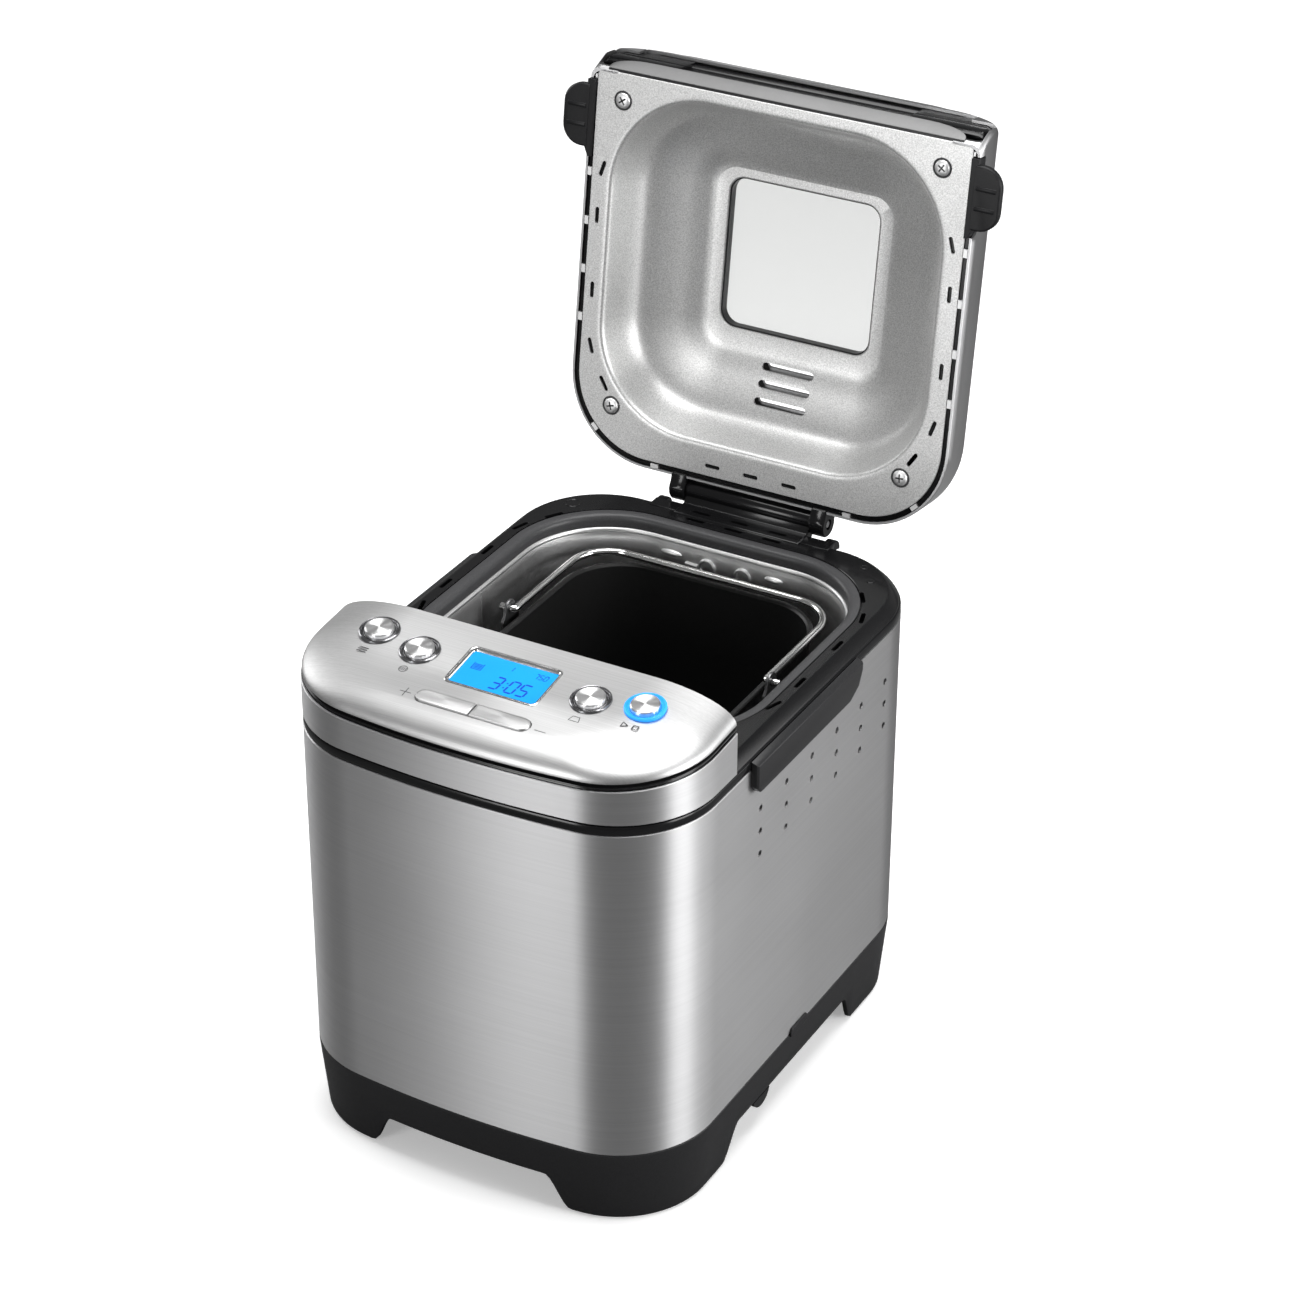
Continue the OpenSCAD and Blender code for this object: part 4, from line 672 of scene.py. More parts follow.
def metal(name, colour, rough, grain=700.0, bump=0.06, swing=0.08, spread=(0.9, 1.06)):
    f = Finish(name, colour, rough, 1.0)
    spots = f.group(SPECKLE, Grain=grain)
    f.shade(spots.outputs["Cloud"], *spread)
    f.roughen(spots.outputs["Grains"], swing)
    f.emboss(spots.outputs["Grains"], bump, 0.00008)
    return f.mat


def spun(name, colour, rough):
    """Turned metal: rings of tool marks that the piece's own map carries round."""
    f = Finish(name, colour, rough, 1.0, Anisotropic=0.85, Anisotropic_Rotation=0.25)
    split = add(f.tree, "ShaderNodeSeparateXYZ")
    f.link(f.coords.outputs["UV"], split.inputs[0])
    rings = add(f.tree, "ShaderNodeCombineXYZ")
    f.link(maths(f.tree, "MULTIPLY", split.outputs["Y"], 60.0), rings.inputs["Y"])
    f.link(maths(f.tree, "MULTIPLY", split.outputs["X"], 3.0), rings.inputs["X"])
    lines = noise(f.tree, rings.outputs[0], 1.0, 3.0, 0.7)
    f.shade(lines, 0.9, 1.04)
    f.emboss(lines, 0.25, 0.00005)
    tangent = add(f.tree, "ShaderNodeTangent", direction_type="UV_MAP", uv_map="around")
    f.link(tangent.outputs["Tangent"], f.shader.inputs["Tangent"])
    return f.mat


def pearl():
    f = Finish("liner_pearl", (0.66, 0.66, 0.655), 0.42, 0.7, Coat_Weight=0.1, Coat_Roughness=0.3)
    spots = f.group(SPECKLE, Grain=1500.0)
    f.shade(spots.outputs["Grains"], 0.78, 1.2, 0.36, 0.64)
    f.roughen(spots.outputs["Cloud"], 0.05)
    f.emboss(spots.outputs["Grains"], 0.16, 0.00008)
    return f.mat


def glass():
    f = Finish("window_glass_clear", (0.6, 0.605, 0.6), 0.05, 0.0, Transmission_Weight=0.95, IOR=1.2)
    cloud = f.group(SPECKLE, Grain=60.0)
    f.roughen(cloud.outputs["Cloud"], 0.03)
    return f.mat


def lit(name, colour, strength, rough=0.25, spread=(0.9, 1.04)):
    f = Finish(name, colour, rough, 0.0, Emission_Strength=strength, Specular_IOR_Level=0.2)
    cloud = f.group(SPECKLE, Grain=400.0)
    ramp = f.shade(cloud.outputs["Cloud"], *spread)
    f.link(ramp.outputs["Color"], f.shader.inputs["Emission Color"])
    return f.mat


casing_steel = brushed("casing_steel", (0.56, 0.56, 0.565), 0.46, (9.0, 9.0, 4200.0), grain=0.82)
fascia_steel = brushed("fascia_steel", (0.5, 0.5, 0.5), 0.44, (9.0, 3800.0, 1500.0), (0.9, 1.08), grain=0.3)
shell_steel = brushed("shell_steel", (0.5, 0.5, 0.505), 0.36, (9.0, 1500.0, 2400.0), grain=0.6)
base_black = moulded("base_black", (0.016, 0.016, 0.017), 0.38, bump=0.2)
deck_black = moulded("deck_black", (0.006, 0.006, 0.0065), 0.2, bump=0.06, coat=0.2, dust=0.004, gloss=0.22)
flange_black = moulded("flange_black", (0.05, 0.05, 0.052), 0.36, grain=1500.0)
trim_black = moulded("trim_black", (0.02, 0.02, 0.021), 0.3)
tab_black = moulded("tab_black", (0.01, 0.01, 0.011), 0.42, bump=0.2, gloss=0.25)
rubber = moulded("rubber_black", (0.02, 0.02, 0.02), 0.8, grain=600.0, bump=0.3)
liner_pearl = pearl()
# the liner's own pearl finish painted dark grey for its front fold: painted shade
fold_grey = metal("fold_grey", (0.17, 0.17, 0.17), 0.5, grain=1200.0)
chamber_steel = metal("chamber_steel", (0.72, 0.72, 0.72), 0.42, grain=500.0, bump=0.08)
nonstick = moulded("pan_nonstick", (0.012, 0.012, 0.012), 0.36, grain=1400.0, bump=0.25, dust=0.0)
wire_chrome = metal("wire_chrome", (0.78, 0.78, 0.77), 0.1)
screw_bright = metal("screw_bright", (0.86, 0.86, 0.86), 0.5)
screw_chrome = metal("screw_chrome", (0.62, 0.62, 0.62), 0.2)
ring_smoke = metal("ring_smoke", (0.3, 0.3, 0.31), 0.16)
bezel_chrome = metal("bezel_chrome", (0.75, 0.75, 0.75), 0.14)
cap_spun = spun("cap_spun", (0.8, 0.8, 0.8), 0.36)
window_clear = glass()
display_blue = lit("display_blue", (0.0, 0.31, 0.8), 0.2, 0.5)
digit_blue = lit("digit_blue", (0.01, 0.06, 0.5), 0.15)
ring_blue = lit("ring_blue", (0.03, 0.3, 0.9), 0.7, 0.15)
mark_grey = moulded("mark_grey", (0.06, 0.06, 0.062), 0.5)
board_green = moulded("board_green", (0.02, 0.16, 0.06), 0.35)
nylon = moulded("nylon", (0.72, 0.7, 0.62), 0.45)
plain_steel = metal("plain_steel", (0.5, 0.5, 0.51), 0.32)
motor_grey = metal("motor_grey", (0.3, 0.31, 0.32), 0.4)
cast_alloy = metal("cast_alloy", (0.45, 0.45, 0.46), 0.5, grain=350.0, bump=0.25)
bronze = metal("bronze", (0.5, 0.33, 0.14), 0.38)
heater_dark = metal("heater_dark", (0.12, 0.11, 0.11), 0.5)
pan_alloy = metal("pan_alloy", (0.2, 0.2, 0.205), 0.4)


def paint(obj, material):
    obj.data.materials.clear()
    obj.data.materials.append(material)
    return obj


def settle(obj, body, material, slot, *replaced):
    """Paints a piece, moves it to the frame, puts it under its body and hides the CAD nodes it stands for."""
    if material is not None:
        paint(obj, material)
    obj.data.transform(Matrix.Translation((0, -MIDDLE_Y * MM, 0)))
    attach(obj, body)
    if replaced:
        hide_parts(*replaced)
    return obj


def drill(obj, shape, places, finish):
    run_tree(obj, PIERCE, {"Places": places, "Shape": shape, "Size": 1.0, "Finish": finish})
    drop(places)
    return obj


def stadium_cutter(name, length, width, depth):
    """A slot-shaped cutter, centred, as long as length in x."""
    r = width / 2
    loop = arc(length / 2 - r, 0, r, -90, 90, 8) + arc(r - length / 2, 0, r, 90, 270, 8)
    return finish_mesh(name, prism(bmesh.new(), loop, -depth / 2, depth / 2))


# ---------- base ----------
ARCH_H, ARCH_EASE, SKIRT_LEAN, SKIRT_FOOT = 20.0, 14.0, 3.8, 1.0
LEG_FRONT, LEG_SIDE = 53.0, 76.0


def skirt_bottom(x, y):
    """Height of the skirt's lower edge: down at the legs, up in an S over the arches."""
    on_side = abs(x) > HALF_W - 24 and abs(y) < REAR_Y - FRONT_R + 4
    half = (REAR_Y - LEG_SIDE) if on_side else (HALF_W - LEG_FRONT)
    d = abs(y) if on_side else abs(x)
    if not on_side and abs(x) > HALF_W - LEG_FRONT:
        return SKIRT_FOOT
    t = min(max((half - d) / ARCH_EASE, 0.0), 1.0)
    return SKIRT_FOOT + (ARCH_H + 0.8 - SKIRT_FOOT) * (1 - math.cos(math.pi * t)) / 2


def make_base():
    outer = body_loop(0.0)
    low = [skirt_bottom(x, y) for x, y in outer]

    def ring(inset, lift, z=None):
        """Ring at a height z, or lifted from the lower edge, leaning in towards the foot."""
        heights = [b + lift if z is None else z for b in low]
        loops = {}
        out = []
        for i, h in enumerate(heights):
            lean = SKIRT_LEAN * min(max((BASE_H - 3 - h) / (BASE_H - 4), 0.0), 1.0)
            key = round(inset + lean, 3)
            if key not in loops:
                loops[key] = body_loop(key)
            out.append((*loops[key][i], h))
        return out

    top = BASE_H - 0.15
    rings = [ring(4.0, 0, 28.0), ring(4.0, 0, top - 0.4), ring(3.6, 0, top), ring(0.5, 0, top),
             ring(0.0, 0, top - 0.5), ring(0.0, 0, BASE_H - 3), ring(0.0, 0, 32.0), ring(0.0, 0, 25.0),
             ring(0.0, 1.0), ring(0.2, 0.35), ring(0.8, 0.0), ring(2.4, 0.0), ring(2.8, 0.6),
             ring(3.0, 0, 24.0)]
    bm = skin(bmesh.new(), rings, cap_v=True)
    for x in (-1, 1):
        for y in (-1, 1):
            boss = lathe(bmesh.new(), [(0, 3.4), (12.4, 3.4), (13, 4.0), (13, 24.4), (0, 24.4)], 40, False)
            boss.transform(Matrix.Translation((x * (HALF_W - 31), y * (REAR_Y - 31), 0)))
            merge(bm, boss)
    for s in (-1, 1):
        tab = skin(bmesh.new(), [[(s * (HALF_W - 2.4 - k), *p) for p in arc(-34, ARCH_H + 3, 9.5, 200, 340, 12)]
                                 for k in (0.0, 2.0)], cap_v=True)
        merge(bm, tab)
    settle(finish_mesh("base_skirt", bm, recalc=True), "housing", base_black, "base_black", "base_tray")


def merge(bm, other):
    mesh = bpy.data.meshes.new("part")
    other.to_mesh(mesh)
    other.free()
    bm.from_mesh(mesh)
    bpy.data.meshes.remove(mesh)
    return bm


def make_feet():
    shape = finish_mesh("foot_shape", lathe(bmesh.new(), [
        (0, 0.0), (9.6, 0.0), (10.6, 0.5), (11, 1.4), (11, 3.3), (0, 3.3)], 40, False))
    places = [(x * (HALF_W - 31), y * (REAR_Y - 31), 0, 0) for x in (-1, 1) for y in (-1, 1)]
    feet = run_tree(marks("rubber_pads", places), SET_OUT, {"Shape": shape, "Finish": rubber})
    drop(shape)
    settle(feet, "housing", None, "rubber", "rubber_feet")


# ---------- outer casing ----------
def make_casing():
    z0, z1 = BASE_H + 0.1, WRAP_TOP
    profile = [(0.35, z0), (0.0, z0 + 0.35), (0.0, z0 + 4), (0.0, z1 - 4), (0.0, z1 - 0.35), (0.35, z1),
               (SHEET - 0.2, z1), (SHEET, z1 - 0.2), (SHEET, z0 + 0.2), (SHEET - 0.2, z0)]
    bm = skin(bmesh.new(), [at_z(body_loop(i), z) for i, z in profile], close_v=True)
    obj = finish_mesh("casing_wrap", bm)
    middle = DRIVE_Y - 78 + 2.5 * 27.8
    run_tree(obj, PERFORATE, {
        "Columns": 6, "Rows": 3, "Column pitch": 27.8 * MM, "Row pitch": 13.3 * MM,
        "Hole radius": 1.8 * MM, "Length": 0.26, "Centre": (0.0, middle * MM, (WRAP_TOP - 40.7) * MM),
        "Turn": (math.pi / 2, 0.0, math.pi / 2), "Finish": casing_steel})
    run_tree(obj, PERFORATE, {
        "Columns": 5, "Rows": 4, "Column pitch": 14 * MM, "Row pitch": 10 * MM,
        "Hole radius": 1.8 * MM, "Length": 0.02, "Centre": (0.0, REAR_Y * MM, (BASE_H + 75) * MM),
        "Turn": (math.pi / 2, 0.0, 0.0), "Finish": casing_steel})
    gland = finish_mesh("gland_cut", lathe(bmesh.new(), [(0, -5), (7.2, -5), (7.2, 5), (0, 5)], 40, False))
    spot = marks("gland_spot", [(48, BASE_H + 17, 0, 0)],
                 Matrix.Translation((0, REAR_Y, 0)) @ Matrix.Rotation(math.pi / 2, 4, "X"))
    drill(obj, gland, spot, casing_steel)
    drop(gland)
    settle(obj, "housing", casing_steel, "casing_steel", "outer_casing")


def make_clips():
    bm = bmesh.new()
    for s in (-1, 1):
        x0, x1 = s * (HALF_W + 0.15), s * (HALF_W + 1.4)
        outline = [(-8.6, 41.6), (10.6, 41.6), (10.6, 44.5), (9.0, 46.4), (-7.0, 46.4), (-8.6, 44.5)]
        skin(bm, [[(x, *p) for p in outline] for x in (x0, x1)], cap_v=True)
    obj = finish_mesh("casing_hooks", bm)
    bevel(obj, 0.4)
    settle(bake_modifiers(obj), "housing", base_black, "base_black", "casing_clips")


# ---------- deck ----------
def slot_places(z, shift=0.0):
    """The ring of locating slots that the deck and the lid's liner share."""
    x, y0, y1 = HALF_W - 9, CHAMBER_Y0 + 47, CHAMBER_Y1
    turn = math.radians
    places = []
    for s in (-1, 1):
        places += [(s * (x - 1.5), y0, z, turn(90 - s * 17)), (s * x, y0 + 26, z, turn(90)),
                   (s * x, y0 + 67.6, z, turn(90)), (s * (x - 1.5), y1 - 40, z, turn(90 + s * 17)),
                   (s * (x - 11), y1 - 20.5, z, turn(90 + s * 32))]
    places += [(x, y1 + 11.2, z, 0.0) for x in (-23, 0, 23)]
    return [(x, y + shift, z, t) for x, y, z, t in places]


def deck_loop(inset):
    return rounded(HALF_W - inset, HEAD_Y - 4, REAR_Y - inset, 1.0, REAR_R - inset, 20, 40, 40)


def chamber_loop(out, counts=(20, 40, 40)):
    return rounded(CHAMBER_X + out, CHAMBER_Y0 - out, CHAMBER_Y1 + out, CHAMBER_R + out,
                   CHAMBER_R + out, *counts)


def make_deck():
    edge = [(0.9, WRAP_TOP + 0.1), (0.3, WRAP_TOP + 0.5), (0.1, WRAP_TOP + 1.4), (0.1, DECK_EDGE - 1.2),
            (0.5, DECK_EDGE - 0.3), (1.2, DECK_EDGE), (4.6, DECK_EDGE), (4.8, DECK_EDGE - 2),
            (4.8, WRAP_TOP + 0.1)]
    bm = skin(bmesh.new(), [at_z(body_loop(i), z) for i, z in edge], close_v=True)
    settle(finish_mesh("deck_edge", bm), "housing", deck_black, "deck_black", "deck_ring")

    rise = [(3.0, RIM_Z - 2), (1.1, DECK_EDGE - 0.6), (1.1, DECK_EDGE + 0.6), (1.6, DECK_EDGE + 1.5),
            (DECK_BEVEL - 1.2, DECK_Z - 0.9), (DECK_BEVEL - 0.3, DECK_Z - 0.25), (DECK_BEVEL + 0.6, DECK_Z),
            (DECK_BEVEL + 1.1, DECK_Z)]
    rings = [at_z(deck_loop(i), z) for i, z in rise]
    rings += [at_z(chamber_loop(o), z) for o, z in [
        (7.7, DECK_Z), (7.3, DECK_Z), (7.0, DECK_Z - 0.3), (6.9, DECK_Z - 1.2), (6.6, DECK_Z - 1.2), (6.6, RIM_Z - 2)]]
    obj = finish_mesh("deck_top", skin(bmesh.new(), rings, close_v=True))
    cutter = stadium_cutter("slot_cut", 11.0, 2.4, 7.0)
    drill(obj, cutter, marks("deck_slots", slot_places(DECK_Z - 1)), deck_black)
    drop(cutter)
    settle(obj, "housing", deck_black, "deck_black", "deck_ring")

    lip = [(6.5, RIM_Z + 0.3), (6.5, DECK_Z - 1.2), (6.3, DECK_Z - 0.3), (5.8, DECK_Z - 0.05), (2.6, DECK_Z - 0.3),
           (1.2, DECK_Z - 0.9), (0.4, DECK_Z - 2.0), (0.1, DECK_Z - 3.6), (0.1, RIM_Z + 0.3)]
    bm = skin(bmesh.new(), [at_z(chamber_loop(o), z) for o, z in lip], close_v=True)
    settle(finish_mesh("deck_flange", bm), "housing", flange_black, "deck_black", "deck_ring")
    bm = bmesh.new()
    for x, y, r in ((-90.5, 121.0, 4.4), (88.5, 121.5, 2.2), (79.0, 133.5, 2.2)):
        disc = lathe(bmesh.new(), [(0, -0.5), (r, -0.5), (r, 0.12), (r - 0.25, 0.25), (r - 0.6, 0.12),
                                   (r - 0.8, 0.05), (0, 0.05)], 32, False)
        disc.transform(Matrix.Translation((x, y, DECK_Z)))
        merge(bm, disc)
    settle(finish_mesh("deck_gate_marks", bm), "housing", deck_black, "deck_black")
    make_hinge_bracket()


KNUCKLE = 37.5


def make_hinge_bracket():
    """Barrel with a ramp down to the deck, and a round pedestal beyond each ear of the lid."""
    bm = bmesh.new()
    barrel = arc(HINGE_Y, HINGE_Z, 5.4, -60, 198, 28)
    ramp = [(REAR_Y - 0.8, DECK_Z + 1.2), (REAR_Y - 11.6, DECK_Z + 0.9), (REAR_Y - 12.4, DECK_Z + 0.3),
            (REAR_Y - 12.4, DECK_Z - 1)]
    back = [(REAR_Y - 6.5, DECK_Z - 5), (REAR_Y - 1.2, DECK_EDGE - 4.2), (REAR_Y + 1.6, DECK_EDGE - 1.4)]
    outline = barrel + ramp + back
    skin(bm, [[(x, *p) for p in outline] for x in (-KNUCKLE, KNUCKLE)], cap_v=True)
    obj = finish_mesh("hinge_knuckle", bm)
    bevel(obj, 0.5, 2, 50)
    bake_modifiers(obj)
    cutter = stadium_cutter("ramp_cut", 11.0, 2.2, 5.0)
    tilt = Matrix.Translation((0, REAR_Y - 7.4, DECK_Z + 1.0))
    drill(obj, cutter, marks("ramp_slots", [(x, 0, 0, 0) for x in (-23, 0, 23)], tilt), deck_black)
    drop(cutter)
    settle(obj, "housing", deck_black, "deck_black", "deck_ring")
    bm = bmesh.new()
    for s in (-1, 1):
        x0, x1 = s * 48.2, s * 53.6
        outline = arc(HINGE_Y - 5.6, DECK_EDGE + 0.6, 6.0, -10, 150, 14) + [(REAR_Y - 7, DECK_Z - 3)]
        skin(bm, [[(x, *p) for p in outline] for x in (x0, x1)], cap_v=True)
        block(bm, s * 35.0, s * 54.0, REAR_Y - 10, REAR_Y - 1.0, DECK_Z - 3, DECK_Z + 0.5)
    obj = finish_mesh("hinge_pedestals", bm)
    bevel(obj, 0.8, 2, 50)
    settle(bake_modifiers(obj), "housing", deck_black, "deck_black", "deck_ring")


def make_trims():
    length, z0 = 115.0, WRAP_TOP - 13.4
    half = length / 2
    for side, s in (("left", -1), ("right", 1)):
        x0 = s * (HALF_W + 0.1)
        outer = [(-half, 0, 3.9), (4 - half, 0, 0), (half - 14, 0, 0), (half - 4, 0, 5), (half, 0, 13)]
        rings = []
        for proud, rise, shrink in ((0.0, 0.0, 0.0), (3.0, 0.0, 0.0), (3.9, 0.8, 0.8), (4.0, 1.4, 1.2)):
            loop = [(-half + shrink, 18.4), (-half + shrink, 4 + rise * 0.4), (4 - half + shrink * 0.4, rise),
                    (half - 14 - shrink * 0.3, rise), (half - 4 - shrink, 5 + rise * 0.5),
                    (half - shrink, 13), (half - shrink, 18.4)]
            rings.append([(x0 + s * proud, y, z0 + z) for y, z in loop])
        obj = finish_mesh(f"side_trim_strip_{side}", skin(bmesh.new(), rings, cap_v=True))
        for v in obj.data.vertices:
            out = abs(v.co.x) / MM - HALF_W
            if v.co.z / MM > z0 + 18 and out > 1:
                v.co.z -= (out - 1) * 0.6 * MM
        bevel(obj, 0.5, 2, 30)
        settle(bake_modifiers(obj), "housing", trim_black, "trim_black", f"side_trim_{side}")


# ---------- control head ----------
def make_band():
    def ring(inset, base, dz):
        if base == "low":
            return at_z(head_path(inset), BAND_Z0 + dz)
        return at_z(head_path(inset), lambda x, y: band_top(y) + dz)

    rings = [ring(0.3, "low", 0), ring(0, "low", 0.3), ring(0, "top", -0.3), ring(0.3, "top", 0),
             ring(SHEET - 0.2, "top", 0), ring(SHEET, "top", -0.2), ring(SHEET, "low", 0.2),
             ring(SHEET - 0.2, "low", 0)]
    bm = skin(bmesh.new(), rings, close_u=False, close_v=True, cap_u=True)
    settle(finish_mesh("band_steel", bm), "housing", casing_steel, "casing_steel", "control_band")


def make_head_frame():
    """Black moulding behind the band, with two ridges and grooves under the cap."""
    def ring(inset, base, dz):
        if base == "low":
            return at_z(head_path(inset), dz)
        return at_z(head_path(inset), lambda x, y: band_top(y) + dz)

    rings = [ring(4.0, "low", DECK_EDGE + 0.2), ring(1.7, "low", DECK_EDGE + 0.2), ring(1.35, "low", BAND_Z0 + 0.5),
             ring(1.35, "top", -0.4), ring(1.9, "top", 0.5), ring(1.2, "top", 0.9), ring(0.75, "top", 1.25),
             ring(0.6, "top", 1.6), ring(0.75, "top", 1.95), ring(1.5, "top", 2.3), ring(2.2, "top", 2.6),
             ring(1.6, "top", 3.0), ring(1.2, "top", 3.3), ring(1.2, "top", GROOVE_H - 0.2), ring(4.0, "top", GROOVE_H - 0.2)]
    bm = skin(bmesh.new(), rings, close_u=False, close_v=True, cap_u=True)
    x1 = HALF_W - 1.35
    wall = [(-x1, DECK_EDGE + 0.2), (x1, DECK_EDGE + 0.2), (x1, band_top(HEAD_Y) + GROOVE_H - 0.2)]
    top = [(x1 - 0.6, band_top(HEAD_Y) + GROOVE_H), (0.6 - x1, band_top(HEAD_Y) + GROOVE_H)]
    loop = wall + top + [(-x1, band_top(HEAD_Y) + GROOVE_H - 0.2)]
    skin(bm, [[(x, y, z) for x, z in loop] for y in (HEAD_Y - 3, HEAD_Y - 0.05)], cap_v=True)
    settle(finish_mesh("head_frame", bm), "housing", deck_black, "deck_black", "panel_frame")


CAP_ROLL, CAP_FRONT = 45.0, 15.0


def cap_ring(u, t, base):
    """Ring of the cap's pillow: u from 0 at the lower edge to 1 on the flat panel."""
    w, depth = HALF_W - 0.6 - t, HEAD_Y - FRONT_Y - 0.6 - t
    turn = math.radians(90 * u)
    kx = (w - CAP_ROLL * (1 - math.cos(turn))) / HALF_W
    ky = (depth - CAP_FRONT * (1 - math.cos(turn))) / (HEAD_Y - FRONT_Y)
    out = []
    for x, y in base:
        py = HEAD_Y - t + (y - HEAD_Y) * ky
        z0 = band_top(py) + GROOVE_H
        z1 = panel_at(py) - t
        out.append((x * kx, py, z0 + (z1 - z0) * math.sin(turn)))
    return out


def rounded_rect_cutter(name, w, h, r, depth, place):
    loop = rounded(w / 2, -h / 2, h / 2, r, r, 6, 0, 0)
    return finish_mesh(name, prism(bmesh.new(), loop, -depth, depth), place)


BUTTONS = {"menu": (-74.7, 22.6), "crust": (-48.0, 28.2), "weight": (48.0, 28.2), "start": (74.7, 22.6)}
LCD = (0.0, 29.0, 52.0, 30.0)
KEYS = (58.0, 63.0, 9.0)


def make_fascia():
    path = head_path(0.0, 20, 8, 56)
    across = [(path[-1][0] + (path[0][0] - path[-1][0]) * k / 30, HEAD_Y) for k in range(1, 30)]
    base = path + across
    steps = [0, 0.04, 0.1, 0.17, 0.25, 0.34, 0.43, 0.52, 0.61, 0.7, 0.78, 0.86, 0.93, 1.0]
    outer = [cap_ring(u, 0.0, base) for u in steps]
    rim = outer[-1]
    outer.append([(x * 0.985, HEAD_Y - 0.6 + (y - HEAD_Y + 0.6) * 0.97, panel_at(HEAD_Y - 0.6 + (y - HEAD_Y + 0.6) * 0.97))
                  for x, y, _ in rim])
    inner = [cap_ring(u, 1.4, base) for u in reversed(steps[::3] + [1.0])]
    bm = skin(bmesh.new(), inner + outer, cap_v=True)
    obj = finish_mesh("fascia_cap", bm)
    cutters = [lathe_cutter(f"cut_{name}", 10.0, panel_place(x, s)) for name, (x, s) in BUTTONS.items()]
    cutters.append(rounded_rect_cutter("cut_display", LCD[2] - 1, LCD[3] - 1, 2.6, 6, panel_place(0, LCD[1])))
    cutters.append(rounded_rect_cutter("cut_keys", KEYS[1] + 0.9, KEYS[2] + 0.9, (KEYS[2] + 0.9) / 2 - 0.01, 6,
                                       panel_place(0, KEYS[0])))
    for cutter in cutters:
        mod = obj.modifiers.new("cut", "BOOLEAN")
        mod.operation = "DIFFERENCE"
        mod.solver = "EXACT"
        mod.object = cutter
    bake_modifiers(obj, 40)
    drop(*cutters)
    settle(obj, "housing", fascia_steel, "fascia_metal", "fascia")


def lathe_cutter(name, r, place):
    return finish_mesh(name, lathe(bmesh.new(), [(0, -7), (r, -7), (r, 7), (0, 7)], 48, False), place)


def around_uv(obj, centre):
    """A map whose first axis runs round a turned piece and whose second runs outwards."""
    uv = obj.data.uv_layers.new(name="around")
    back = centre.inverted()
    for poly in obj.data.polygons:
        angles = []
        for li in poly.loop_indices:
            p = back @ (obj.data.vertices[obj.data.loops[li].vertex_index].co / MM)
            angles.append([math.atan2(p.y, p.x) / (2 * math.pi), math.hypot(p.x, p.y) / 10])
        known = [a[0] for a in angles if a[1] > 0.001]
        middle = known[0] if known else 0.0
        for li, (a, r) in zip(poly.loop_indices, angles):
            if r < 0.001:
                a = sum(known) / max(len(known), 1)
            if a - middle > 0.5:
                a -= 1
            if middle - a > 0.5:
                a += 1
            uv.data[li].uv = (a, r)


def make_buttons():
    cap = [(0, 2.62), (3.0, 2.66), (5.6, 2.75), (6.2, 2.8), (6.8, 2.75), (7.2, 2.5), (7.4, 2.1), (7.4, -5.5), (0, -5.5)]
    collar = [(7.75, -4.0), (7.75, 0.2), (8.0, 0.5), (8.3, 0.62), (8.5, 0.35), (8.8, 0.3), (9.1, 0.9), (9.5, 1.25),
              (9.9, 1.3), (10.3, 1.05), (10.5, 0.55), (10.5, 0.1), (9.9, -0.1), (9.9, -4.0)]
    rings = bmesh.new()
    for name, (x, s) in BUTTONS.items():
        place = panel_place(x, s)
        obj = finish_mesh(f"{name}_cap", lathe(bmesh.new(), cap, 64, False), place)
        around_uv(obj, place)
        settle(obj, name, cap_spun, "button_metal", f"{name}_button")
        ring = lathe(bmesh.new(), collar, 64)
        ring.transform(place)
        if name == "start":
            settle(finish_mesh("start_glow_ring", ring), "housing", ring_blue, "ring_blue", "start_light_ring")
        else:
            merge(rings, ring)
    settle(finish_mesh("button_collars", rings), "housing", ring_smoke, "ring_smoke", "button_rings")


def make_keys():
    s0, length, width = KEYS
    half, r = length / 2, width / 2
    for name, side in (("plus", -1), ("minus", 1)):
        x_in, x_out = 0.3, half
        loop = [(x_in, -r)] + arc(x_out - r, 0, r, -90, 90, 14) + [(x_in, r)]
        rings = []
        for inset, z in ((0, -4.5), (0, 0.6), (0.25, 1.05), (0.8, 1.25), (1.6, 1.32)):
            grown = []
            for x, y in loop:
                dx = (x - (x_in + x_out) / 2) * (1 - 2 * inset / (x_out - x_in)) + (x_in + x_out) / 2
                grown.append((side * dx, y * (1 - inset / r), z))
            rings.append(grown)
        obj = finish_mesh(f"{name}_key_bar", skin(bmesh.new(), rings, cap_v=True), panel_place(0, s0))
        settle(obj, name, fascia_steel, "key_metal", f"{name}_key")


SEGMENTS = {"0": "abcdef", "1": "bc", "3": "abcdg", "5": "acdfg", "7": "abc"}


def segment_bar(bm, x0, y0, x1, y1, t, slant, z):
    """A thin bar with pointed ends from one corner to another, leaning by the slant."""
    a, b = Vector((x0, y0)), Vector((x1, y1))
    d = (b - a).normalized()
    n = Vector((-d.y, d.x)) * t / 2
    e = d * t / 2
    pts = [a + e * 0.35, a + e * 1.35 + n, b - e * 1.35 + n, b - e * 0.35, b - e * 1.35 - n, a + e * 1.35 - n]
    prism(bm, [(p.x + p.y * slant, p.y) for p in pts], z, z + 0.06)


def write_digits(bm, text, x, y, w, h, t, gap, z, slant=0.12):
    corners = {"a": (0, h, w, h), "b": (w, h, w, h / 2), "c": (w, h / 2, w, 0), "d": (0, 0, w, 0),
               "e": (0, h / 2, 0, 0), "f": (0, h, 0, h / 2), "g": (0, h / 2, w, h / 2)}
    for ch in text:
        if ch == ":":
            for dy in (h * 0.3, h * 0.7):
                segment_bar(bm, x - t * 0.6, y + dy, x + t * 0.9, y + dy, t * 1.1, slant, z)
            x += gap
            continue
        for name in SEGMENTS[ch]:
            x0, y0, x1, y1 = corners[name]
            segment_bar(bm, x + x0, y + y0, x + x1, y + y1, t, slant, z)
        x += w + gap


